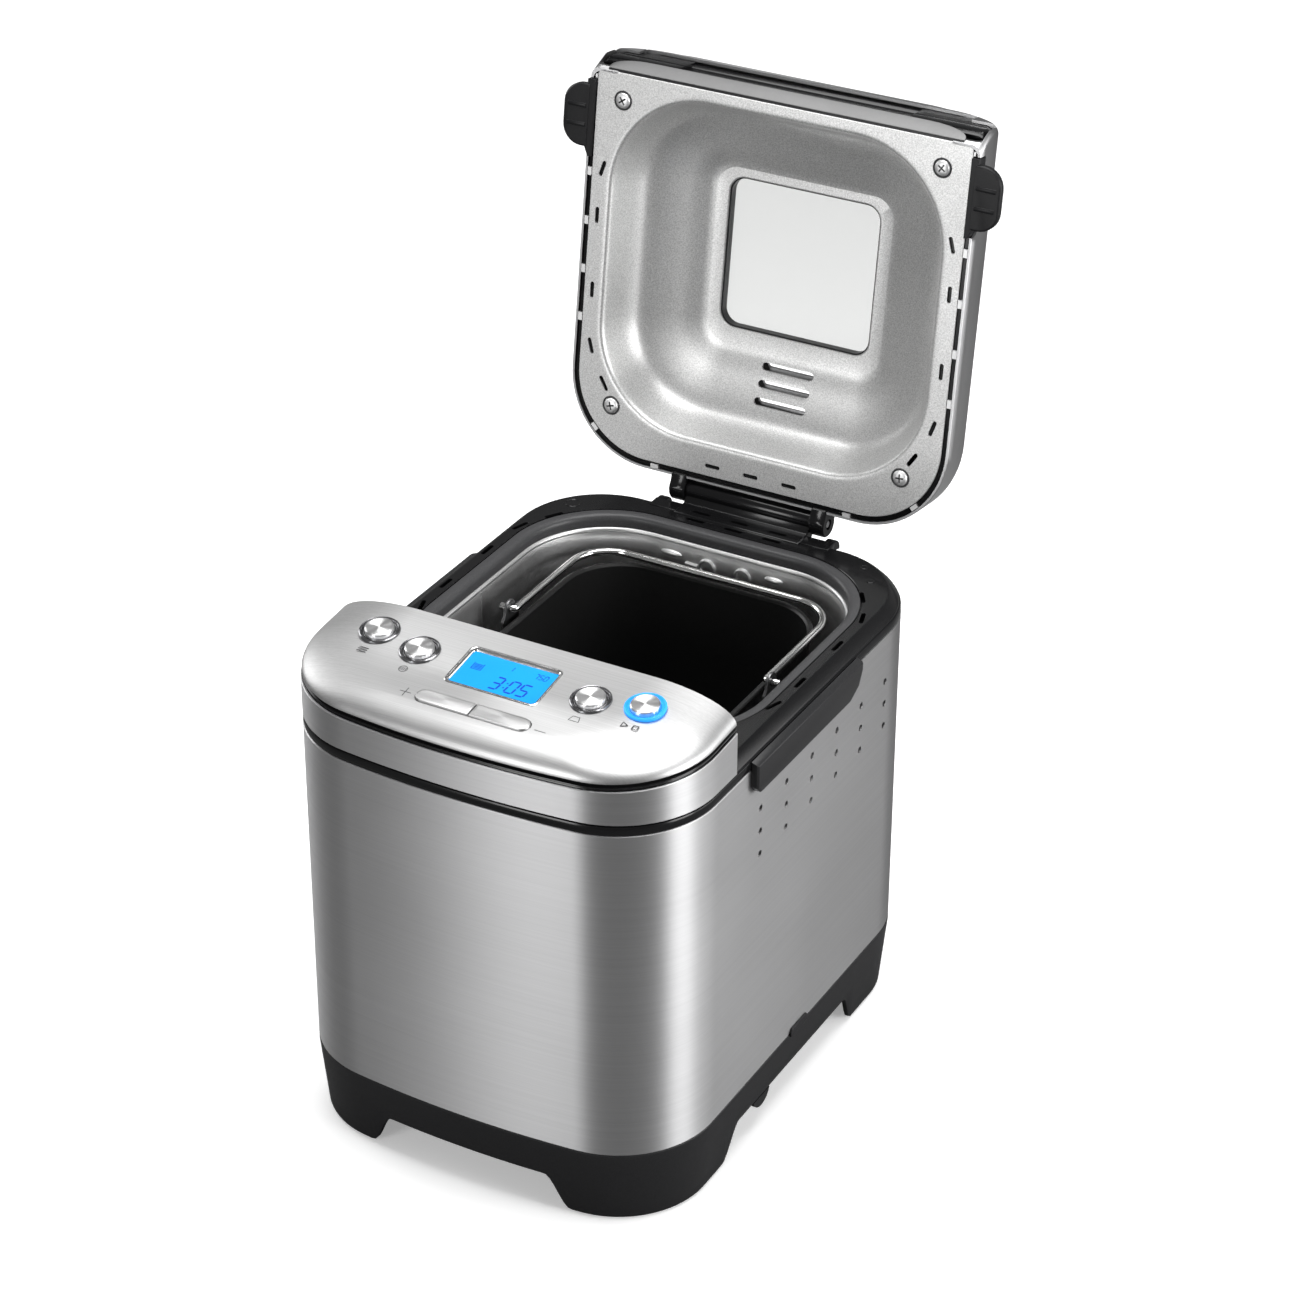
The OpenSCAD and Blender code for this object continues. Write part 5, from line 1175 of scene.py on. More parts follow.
def make_display():
    _, s, w, h = LCD
    place = panel_place(0, s)

    def ring(inset, z, r):
        return at_z(rounded(w / 2 - inset, inset - h / 2, h / 2 - inset, r, r, 8, 6, 6), z)

    rings = [ring(0.0, -1.6, 3.2), ring(0.0, 0.25, 3.2), ring(0.35, 0.5, 3.0), ring(0.9, 0.55, 2.6),
             ring(1.4, 0.3, 2.2), ring(2.1, -0.6, 1.6), ring(2.4, -1.1, 1.2), ring(2.4, -1.6, 1.2)]
    settle(finish_mesh("display_rim", skin(bmesh.new(), rings, close_v=True), place), "housing",
           bezel_chrome, "bezel_metal", "lcd_bezel")
    loop = rounded(w / 2 - 2.2, 2.2 - h / 2, h / 2 - 2.2, 1.2, 1.2, 6, 4, 4)
    bm = prism(bmesh.new(), loop, -1.9, -1.15)
    obj = finish_mesh("display_screen", bm, place)
    settle(obj, "housing", display_blue, "lcd_glass", "lcd_window")
    bm = bmesh.new()
    write_digits(bm, "3", -2.6, -9.4, 4.4, 9.0, 1.0, 2.2, -1.14)
    write_digits(bm, ":05", 4.2, -9.4, 4.4, 9.0, 1.0, 1.9, -1.14)
    write_digits(bm, "750", 12.4, 5.6, 1.7, 3.6, 0.42, 0.9, -1.14)
    write_digits(bm, "1", -1.4, 6.0, 1.6, 3.2, 0.4, 0.8, -1.14)
    for k in range(4):
        block(bm, -18.4, -14.2, 1.2 + k * 0.95, 1.65 + k * 0.95, -1.14, -1.08)
    block(bm, -19.2, -13.4, 0.2, 0.6, -1.14, -1.08)
    block(bm, -19.2, -18.8, 0.6, 5.2, -1.14, -1.08)
    block(bm, -13.8, -13.4, 0.6, 5.2, -1.14, -1.08)
    settle(finish_mesh("display_digits", bm, place), "housing", digit_blue, "lcd_body")


def make_marks():
    """Thin printed strokes: plus and minus by the keys, and a plain sign under each button."""
    t, z0, z1 = 0.42, -0.06, 0.03
    bm = bmesh.new()

    def stroke(x0, s0, x1, s1, width=t):
        a, b = Vector((x0, -s0)), Vector((x1, -s1))
        n = (b - a).normalized()
        n = Vector((-n.y, n.x)) * width / 2
        prism(bm, [tuple(p) for p in (a - n, b - n, b + n, a + n)], z0, z1)

    def hoop(x, s, r, a0=0, a1=360):
        steps = 20
        pts = arc(x, -s, r, a0, a1, steps)
        for p, q in zip(pts, pts[1:]):
            stroke(p[0], -p[1], q[0], -q[1])

    stroke(-40.6, 58.6, -34.4, 58.6)
    stroke(-37.5, 55.4, -37.5, 61.8)
    stroke(34.4, 58.6, 40.6, 58.6)
    x, s = BUTTONS["menu"]
    for k in range(3):
        stroke(x - 2.6, s + 14.4 + k * 1.5, x + 2.6, s + 14.4 + k * 1.5)
    x, s = BUTTONS["crust"]
    hoop(x, s + 15.6, 2.2)
    for k in range(4):
        stroke(x - 1.5 + k * 1.0, s + 14.2 + abs(k - 1.5) * 0.3, x - 1.5 + k * 1.0, s + 17.0 - abs(k - 1.5) * 0.3)
    x, s = BUTTONS["weight"]
    for a, b in (((-1.8, 13.8), (1.8, 13.8)), ((1.8, 13.8), (2.8, 17.2)), ((2.8, 17.2), (-2.8, 17.2)),
                 ((-2.8, 17.2), (-1.8, 13.8))):
        stroke(x + a[0], s + a[1], x + b[0], s + b[1])
    x, s = BUTTONS["start"]
    for a, b in (((-4.4, 13.6), (-1.2, 15.3)), ((-1.2, 15.3), (-4.4, 17.0)), ((-4.4, 17.0), (-4.4, 13.6)),
                 ((1.4, 13.9), (4.2, 13.9)), ((4.2, 13.9), (4.2, 16.7)), ((4.2, 16.7), (1.4, 16.7)),
                 ((1.4, 16.7), (1.4, 13.9))):
        stroke(x + a[0], s + a[1], x + b[0], s + b[1])
    settle(finish_mesh("panel_marks", bm, PANEL), "housing", mark_grey, "deck_black")


# ---------- oven chamber and pan ----------
def make_chamber():
    counts = (20, 24, 24)
    t = 1.0
    profile = [(5.0, RIM_Z - t), (5.0, RIM_Z - 0.1), (1.6, RIM_Z - 0.1), (0.9, RIM_Z + 0.05), (0.2, RIM_Z),
               (-0.5, RIM_Z - 0.35), (-0.95, RIM_Z - 1.0), (-1.0, RIM_Z - 1.8), (-0.7, RIM_Z - 2.6),
               (-0.9, RIM_Z - 3.4), (-1.0, RIM_Z - 6), (-1.0, CHAMBER_FLOOR + 8)]
    rings = [at_z(chamber_loop(o, counts), z) for o, z in profile]
    for k in range(1, 7):
        a = math.radians(15 * k)
        rings.append(at_z(chamber_loop(-1.0 - 7 * (1 - math.cos(a)), counts), CHAMBER_FLOOR + t + 7 * (1 - math.sin(a))))
    bm = bmesh.new()
    full = [at_z(chamber_loop(-8.0, counts), CHAMBER_FLOOR), at_z(chamber_loop(-2.0, counts), CHAMBER_FLOOR),
            at_z(chamber_loop(0.0, counts), CHAMBER_FLOOR + 3), at_z(chamber_loop(0.0, counts), RIM_Z - t)] + rings
    skin(bm, full, cap_v=True)
    settle(finish_mesh("oven_liner", bm), "housing", chamber_steel, "chamber_steel", "oven_chamber")
    make_lances()
    bm = bmesh.new()
    x = 1.0 - CHAMBER_X
    block(bm, x - 0.2, x + 0.25, 27.6, 28.1, CHAMBER_FLOOR + 20, RIM_Z - 3)
    settle(finish_mesh("oven_seam", bm), "housing", chamber_steel, "chamber_steel")


def make_lances():
    """Stamped lugs high on the chamber's rear wall."""
    y = CHAMBER_Y1 - 1.0
    bm = bmesh.new()
    for x, z, w, h in ((-31.0, RIM_Z - 8.6, 6.4, 2.0), (31.0, RIM_Z - 8.8, 5.6, 1.9)):
        rings = []
        for k in range(6):
            a = math.radians(15 * k)
            rings.append([(x + w * math.cos(a) * c, y - 1.8 * math.sin(a), z + h * math.cos(a) * s)
                          for c, s in arc(0, 0, 1, 0, 360 - 360 / 28, 27)])
        skin(bm, rings, cap_v=True)
    for x in (-9.0, 12.5):
        hoop = [(x + 4.2 * math.cos(math.radians(a)), y - 0.5, RIM_Z - 12 + 4.6 * math.sin(math.radians(a)))
                for a in range(-30, 211, 12)]
        tube(bm, hoop, 1.0, 10)
    tube(bm, [(-22.0, y - 0.5, RIM_Z - 12.4), (-14.6, y - 0.5, RIM_Z - 12.6)], 1.0, 10)
    tube(bm, [(-18.3, y - 0.5, RIM_Z - 12.8), (-18.3, y - 0.5, RIM_Z - 15.6)], 0.8, 10)
    tube(bm, [(9.6, y - 0.5, RIM_Z - 15.4), (15.4, y - 0.5, RIM_Z - 15.6)], 0.9, 10)
    settle(finish_mesh("oven_lances", bm), "housing", chamber_steel, "chamber_steel")


pan_lo, pan_hi = mm_box("pan_body")
PAN_RIM = 2.0
PAN_X = pan_hi[0] - PAN_RIM
PAN_Y = pan_hi[1] - DRIVE_Y - PAN_RIM
PAN_TOP, PAN_FLOOR = pan_hi[2], pan_lo[2]
PAN_R, PAN_LEAN, PAN_T = 34.0, 6.0, 1.6


def make_pan():
    def ring(out, lean, z):
        o = out - lean
        return at_z(rounded(PAN_X + o, DRIVE_Y - PAN_Y - o, DRIVE_Y + PAN_Y + o, PAN_R + o, PAN_R + o, 18, 16, 16), z)

    t = PAN_T
    wall = PAN_TOP - 3
    rings = [ring(-8, PAN_LEAN, PAN_FLOOR), ring(-3, PAN_LEAN, PAN_FLOOR + 0.8), ring(-0.8, PAN_LEAN, PAN_FLOOR + 3),
             ring(0, PAN_LEAN, PAN_FLOOR + 6.5), ring(0, 0, wall - 0.4), ring(0.6, 0, wall), ring(1.6, 0, wall + 0.4),
             ring(PAN_RIM, 0, wall + 1.1), ring(PAN_RIM, 0, PAN_TOP - 0.9), ring(1.5, 0, PAN_TOP - 0.25),
             ring(0.5, 0, PAN_TOP), ring(-0.6, 0, PAN_TOP - 0.2), ring(-t, 0, PAN_TOP - 1.2), ring(-t, 0, wall - 1)]
    rings += [ring(-t, PAN_LEAN * k / 6, wall - 1 - (wall - PAN_FLOOR - 10) * k / 6) for k in range(1, 7)]
    for k in range(1, 7):
        a = math.radians(15 * k)
        rings.append(ring(-t - 9 * (1 - math.cos(a)), PAN_LEAN, PAN_FLOOR + t + 9 * (1 - math.sin(a)) - 0.6 * (k / 6)))
    settle(finish_mesh("pan_shell", skin(bmesh.new(), rings, cap_v=True)), "pan", nonstick, "nonstick", "pan_body")


def make_bail():
    bail_lo, bail_hi = mm_box("pan_bail")
    arm_x = PAN_X + 3
    z = (bail_lo[2] + bail_hi[2]) / 2
    r = (bail_hi[2] - bail_lo[2]) / 2
    y1 = bail_hi[1] - r
    bend = 22.0
    path = [(bail_hi[0] - 0.3, DRIVE_Y, z), (arm_x + 2.2, DRIVE_Y, z)]
    path += [(arm_x + 2.2 + 2.2 * math.cos(math.radians(a)), DRIVE_Y + 2.2 + 2.2 * math.sin(math.radians(a)), z)
             for a in range(-105, -181, -15)]
    path += [(arm_x, DRIVE_Y + 8 + (y1 - bend - DRIVE_Y - 8) * k / 10, z) for k in range(10)]
    path += [(arm_x - bend + bend * math.cos(math.radians(a)), y1 - bend + bend * math.sin(math.radians(a)), z)
             for a in range(0, 91, 6)]
    half = path + [(0.0, y1, z)]
    whole = half + [(-x, y, zz) for x, y, zz in reversed(half[:-1])]
    bm = tube(bmesh.new(), whole, r, 20)
    settle(finish_mesh("bail_wire", bm, sharp=60), "bail", wire_chrome, "bail_chrome", "pan_bail")


def make_ears():
    ear_lo, ear_hi = mm_box("pan_ears")
    x1 = ear_hi[0]
    x0 = x1 - 1.6
    z = mm_box("pan_bail")[0][2] + 2
    bm = bmesh.new()
    for s in (-1, 1):
        outline = [(-8, ear_lo[2]), (8, ear_lo[2]), (8, PAN_TOP - 1), (5.6, PAN_TOP + 1.4)]
        outline += [(p[0], p[1]) for p in arc(0, z, 5.0, 10, 170, 14)] + [(-5.6, PAN_TOP + 1.4), (-8, PAN_TOP - 1)]
        skin(bm, [[(s * x, DRIVE_Y + y, zz) for y, zz in outline] for x in (x0, x1)], cap_v=True)
        block(bm, *sorted((s * (PAN_X + 0.1), s * x1)), DRIVE_Y - 8, DRIVE_Y + 8, ear_lo[2], ear_lo[2] + 1.6)
    obj = finish_mesh("ear_plates", bm)
    hole = finish_mesh("ear_hole", lathe(bmesh.new(), [(0, -120), (2.15, -120), (2.15, 120), (0, 120)], 32, False),
                       Matrix.Translation((0, DRIVE_Y, z)) @ Matrix.Rotation(math.pi / 2, 4, "Y"))
    mod = obj.modifiers.new("hole", "BOOLEAN")
    mod.operation = "DIFFERENCE"
    mod.object = hole
    bake_modifiers(obj)
    drop(hole)
    bevel(obj, 0.3, 2, 40)
    settle(bake_modifiers(obj), "pan", pan_alloy, "pan_metal", "pan_ears")


def make_paddle():
    lo, hi = mm_box("kneading_paddle")
    z0 = lo[2]
    bm = lathe(bmesh.new(), [(4.15, z0), (9.4, z0), (10.0, z0 + 0.8), (8.6, z0 + 12.6), (7.6, z0 + 14.6),
                             (6.6, z0 + 15), (4.6, z0 + 15), (4.15, z0 + 14.5)], 40)
    blade = hi[0]
    outline = [(5, z0 + 0.3), (blade - 1.5, z0 + 0.3), (blade, z0 + 1.6), (blade - 2.4, z0 + 9), (blade - 15, z0 + 25),
               (blade - 19, z0 + 26), (blade - 24, z0 + 25.4), (7.4, z0 + 13.4)]
    skin(bm, [[(x, y, z) for x, z in outline] for y in (-2.0, 2.0)], cap_v=True)
    bm.transform(Matrix.Translation((0, DRIVE_Y, 0)))
    obj = finish_mesh("paddle_blade", bm)
    bevel(obj, 0.7, 2, 40)
    settle(bake_modifiers(obj), "paddle", nonstick, "paddle_black", "kneading_paddle")


# ---------- lid, made shut and swung open ----------
SHELL_Y0, SHELL_Y1 = HEAD_Y + 0.9, REAR_Y - 1.0
LINER_X = HALF_W - 4.1
LINER_Y0, LINER_Y1 = HEAD_Y + 7.8, REAR_Y - 5.5
LINER_T, SHELL_T = 0.9, 1.4
BOWL_X, BOWL_Y0, BOWL_Y1 = LINER_X - 12.4, LINER_Y0 + 7.5, LINER_Y1 - 18.5
BOWL_H, DOME_H, SIDE_H = 38.0, 46.0, 19.0
WINDOW_X, WINDOW_Y = 44.5, 41.5
WINDOW_CY = (BOWL_Y0 + BOWL_Y1) / 2 - 4
LID_COUNTS = (18, 30, 30)


def lid_loop(hx, y0, y1, rf, rr):
    return rounded(hx, y0, y1, rf, rr, *LID_COUNTS)


def window_loop(grow, r):
    return lid_loop(WINDOW_X + grow, WINDOW_CY - WINDOW_Y - grow, WINDOW_CY + WINDOW_Y + grow, r, r)


def lid_vents(depth_low, depth_high):
    """Cutters for the three steam slots under the window."""
    return [(0, WINDOW_CY + WINDOW_Y + 17 + 9 * k, LID_Z + (depth_low + depth_high) / 2, 0) for k in range(3)]


def bowl_loop(inset):
    t = inset / 43.0
    y0 = BOWL_Y0 + inset * 0.92
    y1 = BOWL_Y1 - inset
    hx = BOWL_X - inset
    r = max(54 - inset * 0.95, 10)
    return lid_loop(hx, y0, y1, r, r)


def make_liner():
    mouth = [(-3.2, 0.0), (-1.6, 0.15), (-0.5, 0.8), (0.4, 2.2), (1.2, 4.6), (2.2, 8.2), (4.2, 14.2), (6.6, 19.2),
             (10.0, 23.6), (16.0, 27.4), (24.0, 30.8), (32.0, 33.6), (37.0, 35.6), (41.0, 37.2), (44.4, BOWL_H)]
    bowl = smooth_profile(mouth, 3)
    flange = [lid_loop(LINER_X - i, LINER_Y0 + i, LINER_Y1 - i, 3, 44.5 - i) for i in (0.0, 0.35)]
    t = LINER_T
    inside = [at_z(flange[0], LID_Z + 0.3), at_z(flange[1], LID_Z),
              at_z(lid_loop(LINER_X - 0.9, LINER_Y0 + 0.9, LINER_Y1 - 0.9, 3, 43.6), LID_Z),
              at_z(bowl_loop(-4.2), LID_Z)]
    inside += [at_z(bowl_loop(i), LID_Z + d) for i, d in bowl]
    inside += [at_z(window_loop(0.8, 9.6), LID_Z + BOWL_H), at_z(window_loop(0.2, 9.1), LID_Z + BOWL_H + 0.2)]
    outside = [at_z(window_loop(0.2, 9.1), LID_Z + BOWL_H + t)]
    outside += [at_z(bowl_loop(i - t * 0.8), LID_Z + d + t) for i, d in reversed(bowl[3:])]
    outside += [at_z(flange[1], LID_Z + t), at_z(flange[0], LID_Z + t - 0.3)]
    obj = finish_mesh("liner_bowl", skin(bmesh.new(), inside + outside, close_v=True), None, 50)
    slot = stadium_cutter("liner_slot", 9.0, 2.3, 5.0)
    drill(obj, slot, marks("liner_slots", slot_places(LID_Z, 3.0)), liner_pearl)
    vent = stadium_cutter("vent_slot", 31.0, 4.0, 30.0)
    drill(obj, vent, marks("liner_vents", lid_vents(22, 40)), liner_pearl)
    drop(slot, vent)
    bevel(obj, 0.35, 2, 55)
    bake_modifiers(obj, 50)
    obj.data.transform(scaled_matrix(OPEN))
    settle(obj, "lid", liner_pearl, "liner_silver", "lid_liner")
    make_fold()


FOLD_X, FOLD_H, FOLD_OUT = LINER_X - 6, 7.4, 6.2


def make_fold():
    """The liner's front edge, folded up towards the shell and rounded off at both ends, in the liner's finish painted
    dark grey as painted shade.
    """
    rings = []
    round_off = 22.0
    for k in range(33):
        x = FOLD_X * math.cos(math.pi * (1 - k / 32))
        past = max(abs(x) - (FOLD_X - round_off), 0.0) / round_off
        reach = 0.18 + 0.82 * math.sqrt(max(1 - past * past, 0.0))
        y, z = LINER_Y0 - 1.5 - (FOLD_OUT - 1.5) * reach, LID_Z + 1.2 + (FOLD_H - 1.5) * reach
        rings.append([(x, LINER_Y0 - 1.5, LID_Z + 0.9), (x, y, z - 0.3), (x, y - 0.1, z),
                      (x, y + 0.4, z + 0.3), (x, LINER_Y0 - 1.0, LID_Z + 1.7)])
    bm = skin(bmesh.new(), rings, cap_v=True)
    settle(finish_mesh("liner_front_fold", bm, OPEN), "lid", fold_grey, "liner_silver")
    seal = block(bmesh.new(), -FOLD_X, FOLD_X, LINER_Y0 - 1.4, LINER_Y0 - 0.1, LID_Z + 0.35, LID_Z + 0.85)
    settle(finish_mesh("liner_front_seam", seal, OPEN), "lid", trim_black, "lid_black")


def scaled_matrix(matrix):
    """The same placement for a mesh that is already in metres."""
    out = matrix.copy()
    out.translation = out.translation * MM
    return out


LIP_X, LIP_Z = HALF_W - 16, LID_Z + 30
SHELL_STEPS = smooth_profile([
    (0, 0, 0, SIDE_H), (0.5, 0, 0.7, SIDE_H + 2.2), (2.2, 0, 2.6, SIDE_H + 5), (7, 0, 7, SIDE_H + 8.4),
    (16, 0, 14, SIDE_H + 11.9), (30, 0.5, 28, SIDE_H + 14.9), (43, 2, 39, SIDE_H + 16.7),
    (49, 17, 45, SIDE_H + 19), (55.5, 36, 55, DOME_H - 3.6), (59, 44, 62, DOME_H - 0.4),
    (61, 48.5, 65, DOME_H - 0.1)], 3)


def shell_loop(side, front, rear, t=0.0):
    r = 48.5 - min(side, 30) * 0.4 - t
    return lid_loop(HALF_W - side - t, SHELL_Y0 + front + t, SHELL_Y1 - rear - t, 5, r)


def make_shell():
    steps = SHELL_STEPS
    t = SHELL_T
    outer = [at_z(shell_loop(0.25, (12 - h) * 0.55, 0.25), LID_Z + h) for h in (0.0,)]
    outer += [at_z(shell_loop(0, (12 - h) * 0.55, 0), LID_Z + h) for h in (0.3, 6.0, 12.0)]
    outer += [at_z(shell_loop(a, b, c), LID_Z + h) for a, b, c, h in steps]
    outer += [at_z(window_loop(2.4, 11), LID_Z + DOME_H)]
    inner = [at_z(window_loop(2.4, 11), LID_Z + DOME_H - t)]
    inner += [at_z(shell_loop(a, b, c, t), LID_Z + h - t) for a, b, c, h in reversed(steps)]
    inner += [at_z(shell_loop(0, (12 - h) * 0.55, 0, t), LID_Z + h) for h in (12.0, 6.0)]
    inner += [at_z(shell_loop(0, 6.6, 0, t), LID_Z)]
    obj = finish_mesh("lid_dome", skin(bmesh.new(), outer + inner, close_v=True), None, 40)
    cutters = []
    for name, x, y1, z1 in (("lip", LIP_X, SHELL_Y0 + 9, LIP_Z), ("cheeks", HALF_W - 2.0, SHELL_Y0 + 5.4, LID_Z + 22)):
        cutters.append(finish_mesh(f"cut_{name}", block(bmesh.new(), -x, x, SHELL_Y0 - 1, y1, LID_Z - 1, z1)))
    for s in (-1, 1):
        y0, y1 = HEAD_Y + 13.2, HEAD_Y + 55.8
        loop = [(y0, LID_Z - 1), (y1 - 2, LID_Z - 1)] + arc(y1 - 6, LID_Z + 0.3, 6.0, 0, 90, 8) + [(y0, LID_Z + 6.3)]
        ends = sorted((s * (HALF_W - 8), s * (HALF_W + 1)))
        cutters.append(finish_mesh(f"cut_tab_{s + 1}", skin(bmesh.new(), [[(x, *p) for p in loop] for x in ends],
                                                            cap_v=True)))
    for cutter in cutters:
        mod = obj.modifiers.new("cut", "BOOLEAN")
        mod.operation = "DIFFERENCE"
        mod.solver = "EXACT"
        mod.object = cutter
    bake_modifiers(obj)
    drop(*cutters)
    vent = stadium_cutter("shell_vent", 31.0, 4.0, 44.0)
    drill(obj, vent, marks("shell_vents", lid_vents(22, 52)), shell_steel)
    drop(vent)
    crease_mesh(obj, 40)
    obj.data.transform(scaled_matrix(OPEN))
    settle(obj, "lid", shell_steel, "shell_steel", "lid_shell")


def crease_mesh(obj, sharp):
    bm = bmesh.new()
    bm.from_mesh(obj.data)
    crease(bm, sharp)
    bm.to_mesh(obj.data)
    bm.free()


EAR_W = 9.0


def make_lid_frame():
    t = SHELL_T + 0.1
    outer = [lid_loop(HALF_W - t - i, SHELL_Y0 + 8.5 + i, SHELL_Y1 - t - i, 5, 47 - i) for i in (0.0, 0.4)]
    inner = lid_loop(HALF_W - 13.0, SHELL_Y0 + 12, SHELL_Y1 - 13, 8, 37)
    rings = [at_z(outer[0], LID_Z + 1.6), at_z(outer[1], LID_Z + 1.2), at_z(inner, LID_Z + 1.2),
             at_z(inner, LID_Z + 8), at_z(outer[0], LID_Z + 8)]
    bm = skin(bmesh.new(), rings, close_v=True)
    obj = finish_mesh("lid_rim_frame", bm)
    cutters = []
    for s in (-1, 1):
        ends = sorted((s * (HALF_W - 8), s * (HALF_W + 1)))
        cutters.append(finish_mesh(f"cut_root_{s + 1}", block(bmesh.new(), *ends, HEAD_Y + 13.3, HEAD_Y + 55.7,
                                                              LID_Z - 5, LID_Z + 6.2)))
    for cutter in cutters:
        mod = obj.modifiers.new("cut", "BOOLEAN")
        mod.operation = "DIFFERENCE"
        mod.solver = "EXACT"
        mod.object = cutter
    bake_modifiers(obj)
    drop(*cutters)
    obj.data.transform(scaled_matrix(OPEN))
    settle(obj, "lid", deck_black, "lid_black", "lid_frame")

    make_rail()
    make_lid_ears()


def make_rail():
    """Glossy rail under the shell's lip and a cap at each corner, trimmed to the shell's inside."""
    inset = SHELL_T + 0.25
    core = [at_z(shell_loop(0, 6.6, 0, inset), LID_Z + 0.2), at_z(shell_loop(0, 0, 0, inset), LID_Z + 12)]
    core += [at_z(shell_loop(a, b, c, inset), LID_Z + h - inset) for a, b, c, h in SHELL_STEPS]
    core_obj = finish_mesh("rail_core", skin(bmesh.new(), core, cap_v=True))
    front, back, low, high = SHELL_Y0 + 3.0, SHELL_Y0 + 9.4, LID_Z + FOLD_H + 0.8, LIP_Z - 0.6
    rail = [(back, low), (front, low), (front - 0.8, low + 1.2), (front - 0.8, low + 6), (front + 0.6, low + 7.4),
            (front + 0.6, high - 5), (front - 0.6, high - 3.6), (front - 0.6, high), (back, high)]
    cap = [(back, low + 1.2), (SHELL_Y0 + 1.6, low + 1.2), (SHELL_Y0 + 1.6, low + 9), (SHELL_Y0 + 2.4, low + 9.6),
           (SHELL_Y0 + 2.4, low + 10.6), (SHELL_Y0 + 1.6, low + 11.2), (SHELL_Y0 + 1.6, high), (back, high)]
    spans = [(rail, -HALF_W, HALF_W)] + [(cap, *sorted((s * (HALF_W - 46), s * (HALF_W - 2.5)))) for s in (-1, 1)]
    for name, (outline, x0, x1) in zip(("lid_front_rail", "lid_cap_left", "lid_cap_right"), spans):
        obj = finish_mesh(name, skin(bmesh.new(), [[(x, *p) for p in outline] for x in (x0, x1)], cap_v=True))
        trim = obj.modifiers.new("trim", "BOOLEAN")
        trim.operation = "INTERSECT"
        trim.solver = "EXACT"
        trim.object = core_obj
        bake_modifiers(obj)
        bevel(obj, 0.4, 2, 40)
        bake_modifiers(obj)
        obj.data.transform(scaled_matrix(OPEN))
        settle(obj, "lid", deck_black, "lid_black")
    drop(core_obj)


def make_lid_ears():
    """Two ears that carry the lid on its pin, and the pin, whose ends sit in the ears' bores."""
    bm = bmesh.new()
    for s in (-1, 1):
        x0 = KNUCKLE + 0.3
        root = [(SHELL_Y1 - 10, LID_Z + 11), (SHELL_Y1 - 10, LID_Z + 1.5), (SHELL_Y1 - 2.6, LID_Z + 1.2),
                (SHELL_Y1 - 1.4, LID_Z - 0.6)]
        outline = arc(HINGE_Y, HINGE_Z, 7.2, -125, 100, 24) + root
        ends = [s * x0, s * (x0 + 0.8), s * (x0 + EAR_W - 0.8), s * (x0 + EAR_W)]
        middle = Vector((HINGE_Y - 2, HINGE_Z))
        rings = []
        for x, k in zip(ends, (0.92, 1.0, 1.0, 0.92)):
            rings.append([(x, middle.x + (p[0] - middle.x) * k, middle.y + (p[1] - middle.y) * k) for p in outline])
        skin(bm, rings, cap_v=True)
    obj = finish_mesh("lid_ears", bm)
    pin = finish_mesh("pin_bore", lathe(bmesh.new(), [(0, -60), (3.0, -60), (3.0, 60), (0, 60)], 32, False),
                      Matrix.Translation((0, HINGE_Y, HINGE_Z)) @ Matrix.Rotation(math.pi / 2, 4, "Y"))
    mod = obj.modifiers.new("bore", "BOOLEAN")
    mod.operation = "DIFFERENCE"
    mod.object = pin
    bake_modifiers(obj)
    drop(pin)
    obj.data.transform(scaled_matrix(OPEN))
    settle(obj, "lid", deck_black, "lid_black")
    bm = bmesh.new()
    x1 = KNUCKLE + 0.3 + EAR_W - 0.6
    lathe(bm, [(0, -x1), (1.7, -x1), (2.0, 0.3 - x1), (2.0, x1 - 0.3), (1.7, x1), (0, x1)], 32, False)
    place = Matrix.Translation((0, HINGE_Y, HINGE_Z)) @ Matrix.Rotation(math.pi / 2, 4, "Y")
    settle(finish_mesh("hinge_rod", bm, place), "lid", plain_steel, "shaft_steel", "hinge_pin")


def make_window():
    z0, z1 = LID_Z + BOWL_H + LINER_T + 0.1, LID_Z + DOME_H - SHELL_T - 0.1
    rings = [at_z(window_loop(4, 12), z0), at_z(window_loop(4, 12), z1 - 2.2),
             at_z(window_loop(1.8, 10.6), z1 - 1.9), at_z(window_loop(1.8, 10.6), z1), at_z(window_loop(-0.2, 8.8), z1),
             at_z(window_loop(-0.6, 8.5), z1 - 0.3), at_z(window_loop(-0.6, 8.5), z0 + 0.3), at_z(window_loop(-0.2, 8.8), z0)]
    obj = finish_mesh("window_gasket", skin(bmesh.new(), rings, close_v=True), OPEN)
    settle(obj, "lid", trim_black, "frame_dark", "window_frame")
    low, high = LID_Z + DOME_H - SHELL_T + 0.05, LID_Z + DOME_H + 1.1
    rings = [at_z(window_loop(1.6, 10.4), low), at_z(window_loop(2.0, 10.8), low + 0.4),
             at_z(window_loop(2.0, 10.8), high - 0.6), at_z(window_loop(1.4, 10.2), high)]
    obj = finish_mesh("window_pane", skin(bmesh.new(), rings, cap_v=True), OPEN)
    settle(obj, "lid", window_clear, "glass_pale", "window_glass")


